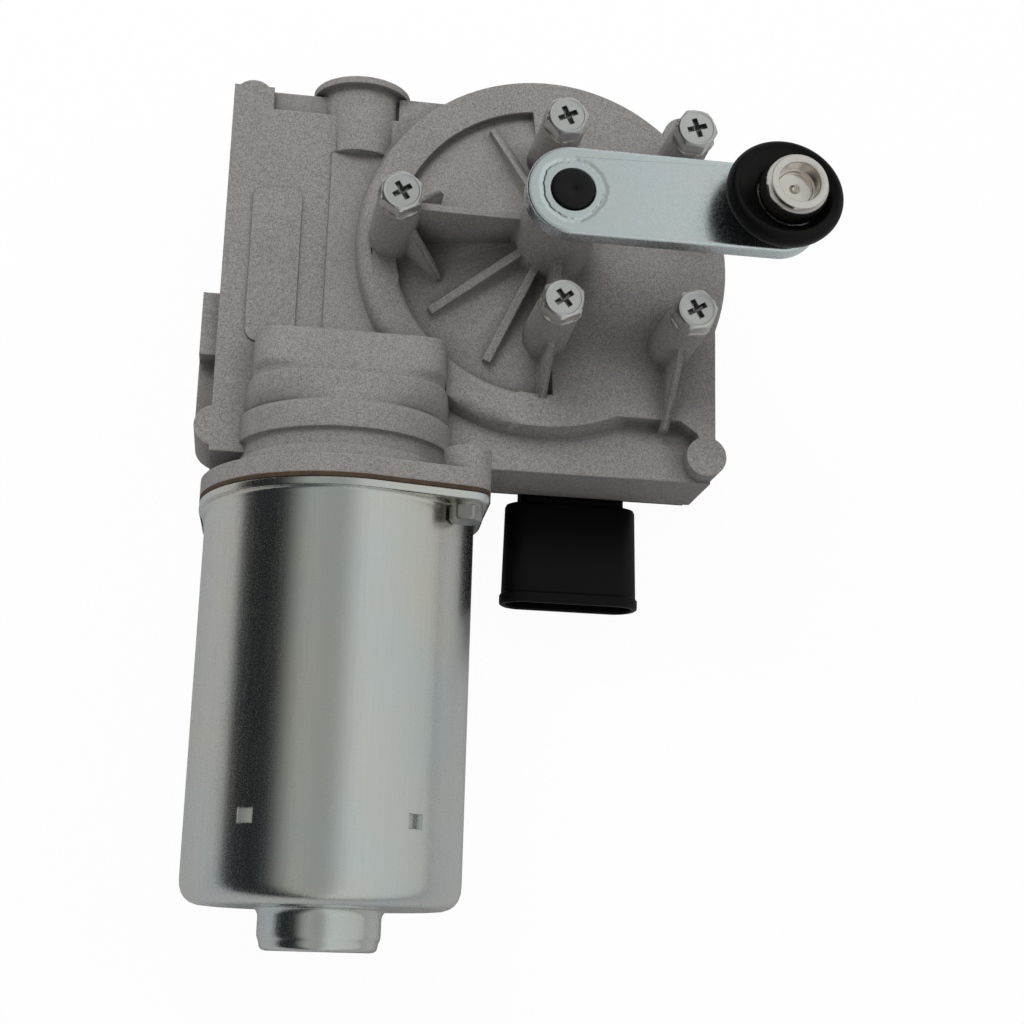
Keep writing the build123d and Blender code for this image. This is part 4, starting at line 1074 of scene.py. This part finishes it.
@dataclass(frozen=True)
class MotorCan:
    """The drawn can: a flange with two ears, a deep pot, a cup and two pressed dents."""

    face: float = -67.9
    flange: float = 2.0
    flange_radius: float = 34.0
    ear: float = 5.6
    ear_circle: float = 36.3
    ear_turn: float = 40.0
    radius: float = 32.4
    wall: float = 1.8
    bottom: float = -162.0
    corner: float = 6.0
    cup: float = 14.2
    cup_bottom: float = -171.6
    dent_high: float = -141.4
    dent_low: float = -145.2
    dent_depth: float = 1.2
    dent_width: float = 3.6
    dent_half: float = 3.3
    headings: Point = (-125.0, -55.0)
    count: int = 240

    def build(self) -> None:
        """Makes the can."""
        turn = math.radians(self.ear_turn)
        x, y = self.ear_circle * math.cos(turn), self.ear_circle * math.sin(turn)
        ears = (Outline(self.ear, x, -y), Outline(self.ear, -x, y))
        flange = Hull(0.0, circles=(Outline(self.flange_radius), *ears))
        back = self.face - self.flange
        inner = self.radius - self.wall
        outside = [
            (self.radius + 1.6, back, 0), (self.radius, back - 0.1, 1.2),
            (self.radius, self.dent_high, 0), (self.radius, self.dent_low, 0),
            (self.radius, self.bottom, self.corner), (self.cup + 1.0, self.bottom, 0.7),
            (self.cup, self.bottom - 1.4, 0.7), (self.cup, self.cup_bottom + 3.2, 1.0),
            (self.cup - 0.5, self.cup_bottom + 2.2, 0.4), (self.cup - 0.9, self.cup_bottom, 2.0),
            (9.6, self.cup_bottom, 0.4), (9.0, self.cup_bottom + 0.8, 0.4),
            (0, self.cup_bottom + 0.8, 0),
        ]
        inside = [
            (0, self.cup_bottom + 2.6, 0), (self.cup - self.wall, self.cup_bottom + 2.6, 1.5),
            (self.cup - self.wall, self.bottom + self.wall, 0.5),
            (inner, self.bottom + self.wall, self.corner - self.wall), (inner, self.face, 0),
        ]
        stations = [
            (inner, self.face), (flange.grown(-0.25), self.face), (flange, self.face - 0.25),
            (flange, back + 0.5), (flange.grown(-0.15), back + 0.15), (flange.grown(-0.5), back),
            *rounded(outside, 6),
            *rounded(inside),
        ]
        can = loft(stations, self.count)
        self.press_dents(can)
        publish(laid(can), "can", Palette.CAN, Body.CASE, ("motor_can",), 30.0)

    def press_dents(self, can: Shape) -> None:
        """Presses the two small windows into the side that faces up.

        Args:
            can: The can on the Z axis, whose side that faces up is at -Y.
        """
        for heading in self.headings:
            near = []
            for face in can.faces:
                middle = face.calc_center_median()
                off = math.degrees(math.atan2(middle.y, middle.x)) - heading
                level = self.dent_low < middle.z / MM < self.dent_high
                outer = math.hypot(middle.x, middle.y) > (self.radius - 0.5) * MM
                if level and outer and abs(off) < self.dent_half:
                    near.append(face)
            bmesh.ops.inset_region(can, faces=near, thickness=0.3 * MM, depth=0.0)
            grown = bmesh.ops.extrude_face_region(can, geom=near)["geom"]
            verts = [part for part in grown if isinstance(part, bmesh.types.BMVert)]
            bmesh.ops.delete(can, geom=near, context="FACES_ONLY")
            away = Vector((math.cos(math.radians(heading)), math.sin(math.radians(heading)), 0))
            for vert in verts:
                across = away.cross(vert.co).z / (self.dent_width * MM) + 0.5
                vert.co -= away * (0.2 + self.dent_depth * across) * MM


@dataclass(frozen=True)
class FlangeBolts:
    """The two bolts that clamp the can, with flanged hexagon heads."""

    circle: float = MotorCan.ear_circle
    turn: float = MotorCan.ear_turn
    seat: float = -69.9
    head: float = 4.2
    across: float = 7.0
    corner: float = 3.9
    washer: float = 3.85
    shank: float = 2.0
    end: float = -58.4

    def build(self) -> None:
        """Makes both bolts."""
        turn = math.radians(self.turn)
        hexed = Hexagon(self.across / 2, 0, 0, self.corner, -turn)
        stations = [
            (0, self.end), (self.shank, self.end), (self.shank, self.seat),
            (self.washer, self.seat), (self.washer, self.seat - 0.5),
            (self.washer - 0.3, self.seat - 0.8), (hexed, self.seat - 0.85),
            (hexed, self.seat - self.head + 0.5), (self.across / 2 - 0.1, self.seat - self.head),
            (self.across / 2 - 0.6, self.seat - self.head), (0, self.seat - self.head + 0.25),
        ]
        x, y = self.circle * math.cos(turn), self.circle * math.sin(turn)
        bolts = joined([shifted(loft(stations), side * x, -side * y) for side in (1, -1)])
        publish(laid(bolts), "can_bolts", Palette.BOLT, Body.CASE, ("flange_bolts",), 24.0)


@dataclass(frozen=True)
class SocketShell:
    """The plug socket: a tapered shell with a thicker mouth, and its neck into the cover."""

    x: float = 13.6
    z: float = -56.1
    shoulder: float = -57.4
    mouth: float = -84.0
    inside: float = -47.6
    width: float = 36.0
    depth: float = 12.2
    wall: float = 1.6
    floor: float = -62.2
    neck_width: float = 27.0
    neck_depth: float = 8.0
    neck_corner: float = 1.2

    def build(self) -> None:
        """Makes the shell and its neck."""
        end = self.depth / 2
        far = self.width / 2 - end
        slot = Hull(0.0, circles=(Outline(end, far), Outline(end, -far)))
        length = self.shoulder - self.mouth
        shell = [
            (0, self.shoulder - self.floor), (slot.grown(-self.wall), self.shoulder - self.floor),
            (slot.grown(-self.wall), length - 0.3), (slot.grown(-self.wall + 0.3), length),
            (slot.grown(-0.5), length), (slot.grown(-0.1), length - 0.25), (slot, length - 0.7),
            (slot, length - 2.4), (slot.grown(-0.45), length - 3.0), (slot.grown(-0.9), 1.0),
            (slot.grown(-1.2), 0.3), (slot.grown(-2.0), 0.0), (0, 0.0),
        ]
        corner = self.neck_corner
        far_x, far_y = self.neck_width / 2 - corner, self.neck_depth / 2 - corner
        corners = tuple(Outline(corner, sx * far_x, sy * far_y) for sx in (1, -1) for sy in (1, -1))
        box = Hull(0.0, circles=corners)
        sunk = self.shoulder - self.inside
        neck = [(0, sunk), (box, sunk), (box, 0.2), (0, 0.2)]
        both = laid(joined([loft(shell, 160), loft(neck)]), (self.x, self.shoulder, self.z), 90.0)
        nodes = ("connector_housing",)
        publish(both, "socket_shell", Palette.SOCKET, Body.CASE, nodes, 30.0)


def dress_nodes() -> None:
    """Gives every CAD node its finish."""
    finishes = {name: finish for finish, names in DRESSED.items() for name in names.split()}
    for name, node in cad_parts.items():
        node.data.materials.clear()
        node.data.materials.append(finishes[name].material())
        log.info("dressed %s", name)


@dataclass(frozen=True)
class Studio:
    """The camera of the photograph, the pale floor and the soft lights."""

    position: Triple = (-0.06755, -0.17227, 0.37894)
    right: Triple = (0.98734381, 0.02647234, 0.15636947)
    up: Triple = (-0.06420042, 0.96828782, 0.24144771)
    lens: float = 61.45
    sensor: float = 36.0
    floor_z: float = -0.068
    floor_size: float = 6.0
    floor_grey: float = 0.8
    floor_glow: float = 1.025
    floor_white: float = 0.94
    ambient: float = 0.23
    target: Triple = (-0.02, -0.03, -0.03)
    lamps: tuple[tuple[str, Triple, float, float], ...] = (
        # name, place in metres, side in metres and power in watts
        ("key_softbox", (-0.30, 0.62, 0.88), 0.6, 5.2),
        ("right_softbox", (0.62, 0.20, 0.80), 0.7, 1.3),
        ("left_fill", (-0.95, -0.25, 0.45), 0.5, 0.4),
    )
    sky: tuple[tuple[float, Triple], ...] = (
        # what reflections see, from below round the left side, the top and the right side
        (0.00, (0.90, 0.90, 0.90)), (0.08, (0.45, 0.45, 0.44)), (0.12, (0.17, 0.18, 0.175)),
        (0.21, (0.18, 0.19, 0.185)), (0.26, (0.015, 0.017, 0.018)), (0.365, (0.012, 0.015, 0.018)),
        (0.42, (0.40, 0.41, 0.38)), (0.50, (0.31, 0.315, 0.30)), (0.55, (0.62, 0.64, 0.63)),
        (0.70, (0.54, 0.55, 0.53)), (0.86, (0.40, 0.405, 0.385)), (0.94, (1.1, 1.1, 1.08)),
    )

    def build(self) -> None:
        """Makes the camera, floor, world and lamps."""
        self.make_camera()
        self.make_floor()
        self.make_world()
        for lamp in self.lamps:
            self.make_lamp(*lamp)
        bpy.context.scene.view_settings.view_transform = "Standard"

    def make_camera(self) -> None:
        """Places the camera at the photograph's viewing angle."""
        data = bpy.data.cameras.new("photo_camera")
        data.lens = self.lens
        data.sensor_width = self.sensor
        data.clip_start = 0.01
        camera = added("photo_camera", data)
        right, up = Vector(self.right), Vector(self.up)
        turn = Matrix((right, up, right.cross(up))).transposed().to_4x4()
        camera.matrix_world = Matrix.Translation(self.position) @ turn
        bpy.context.scene.camera = camera

    def make_floor(self) -> None:
        """Makes the pale floor, white to the camera, which keeps a faint shadow."""
        mesh = bmesh.new()
        bmesh.ops.create_grid(mesh, x_segments=1, y_segments=1, size=self.floor_size)
        bmesh.ops.translate(mesh, verts=mesh.verts, vec=(0, 0, self.floor_z))
        data = bpy.data.meshes.new("floor")
        mesh.to_mesh(data)
        mesh.free()
        floor = added("floor", data)
        recipe = Recipe(bpy.data.materials.new("floor_paper"))
        seen = recipe.node("LightPath", output="Is Camera Ray")
        grey = self.floor_grey
        paper = recipe.node("BsdfDiffuse", {}, {"Color": (grey, grey, grey, 1.0)})
        glow = recipe.node("Emission", {}, {"Color": (1, 1, 1, 1), "Strength": self.floor_glow})
        both = recipe.node("MixShader", {}, {0: seen * self.floor_white, 1: paper, 2: glow})
        recipe.node("OutputMaterial", {}, {"Surface": both})
        data.materials.append(recipe.owner)

    def make_world(self) -> None:
        """Lights the object plainly: white to the camera, and the sky in reflections."""
        world = bpy.data.worlds.new("studio")
        bpy.context.scene.world = world
        recipe = Recipe(world)
        look = recipe.node("TexCoord", output="Generated")
        side = recipe.node("SeparateXYZ", {}, {0: look}, "X")
        over = recipe.node("SeparateXYZ", {}, {0: look}, "Z")
        across = side.math("ARCTAN2", over) * (1 / math.tau) + 0.5
        bands = recipe.node("ValToRGB", {"stops": self.sky}, {0: across}, "Color")
        glossy, plain, white = (
            recipe.node("Background", {}, {"Color": colour, "Strength": strength})
            for colour, strength in ((bands, 1.0), ((1, 1, 1, 1), self.ambient), ((1, 1, 1, 1), 1.0))
        )
        is_glossy = recipe.node("LightPath", output="Is Glossy Ray")
        is_camera = recipe.node("LightPath", output="Is Camera Ray")
        first = recipe.node("MixShader", {}, {0: is_glossy, 1: plain, 2: glossy})
        second = recipe.node("MixShader", {}, {0: is_camera, 1: first, 2: white})
        recipe.node("OutputWorld", {}, {"Surface": second})

    def make_lamp(self, name: str, place: Triple, size: float, power: float) -> None:
        """Adds a square soft lamp that points at the object.

        Args:
            name: The lamp's name.
            place: Where it stands, in metres.
            size: Its side, in metres.
            power: Its power, in watts.
        """
        data = bpy.data.lights.new(name, "AREA")
        data.size = size
        data.energy = power
        lamp = added(name, data)
        lamp.visible_glossy = False
        lamp.location = place
        lamp.rotation_euler = (Vector(self.target) - Vector(place)).to_track_quat("-Z", "Y").to_euler()


def main() -> None:
    """Builds the motor's looks and the studio."""
    Studio().build()
    dress_nodes()
    cast = (CastCase, CastNeck, BossBurrs, MountingScrews)
    crank = (OutputShaft, CrankArm, BallStud, BallCap)
    for piece in (*cast, *crank, MotorCan, FlangeBolts, SocketShell):
        piece().build()


if __name__ == "__main__":
    main()
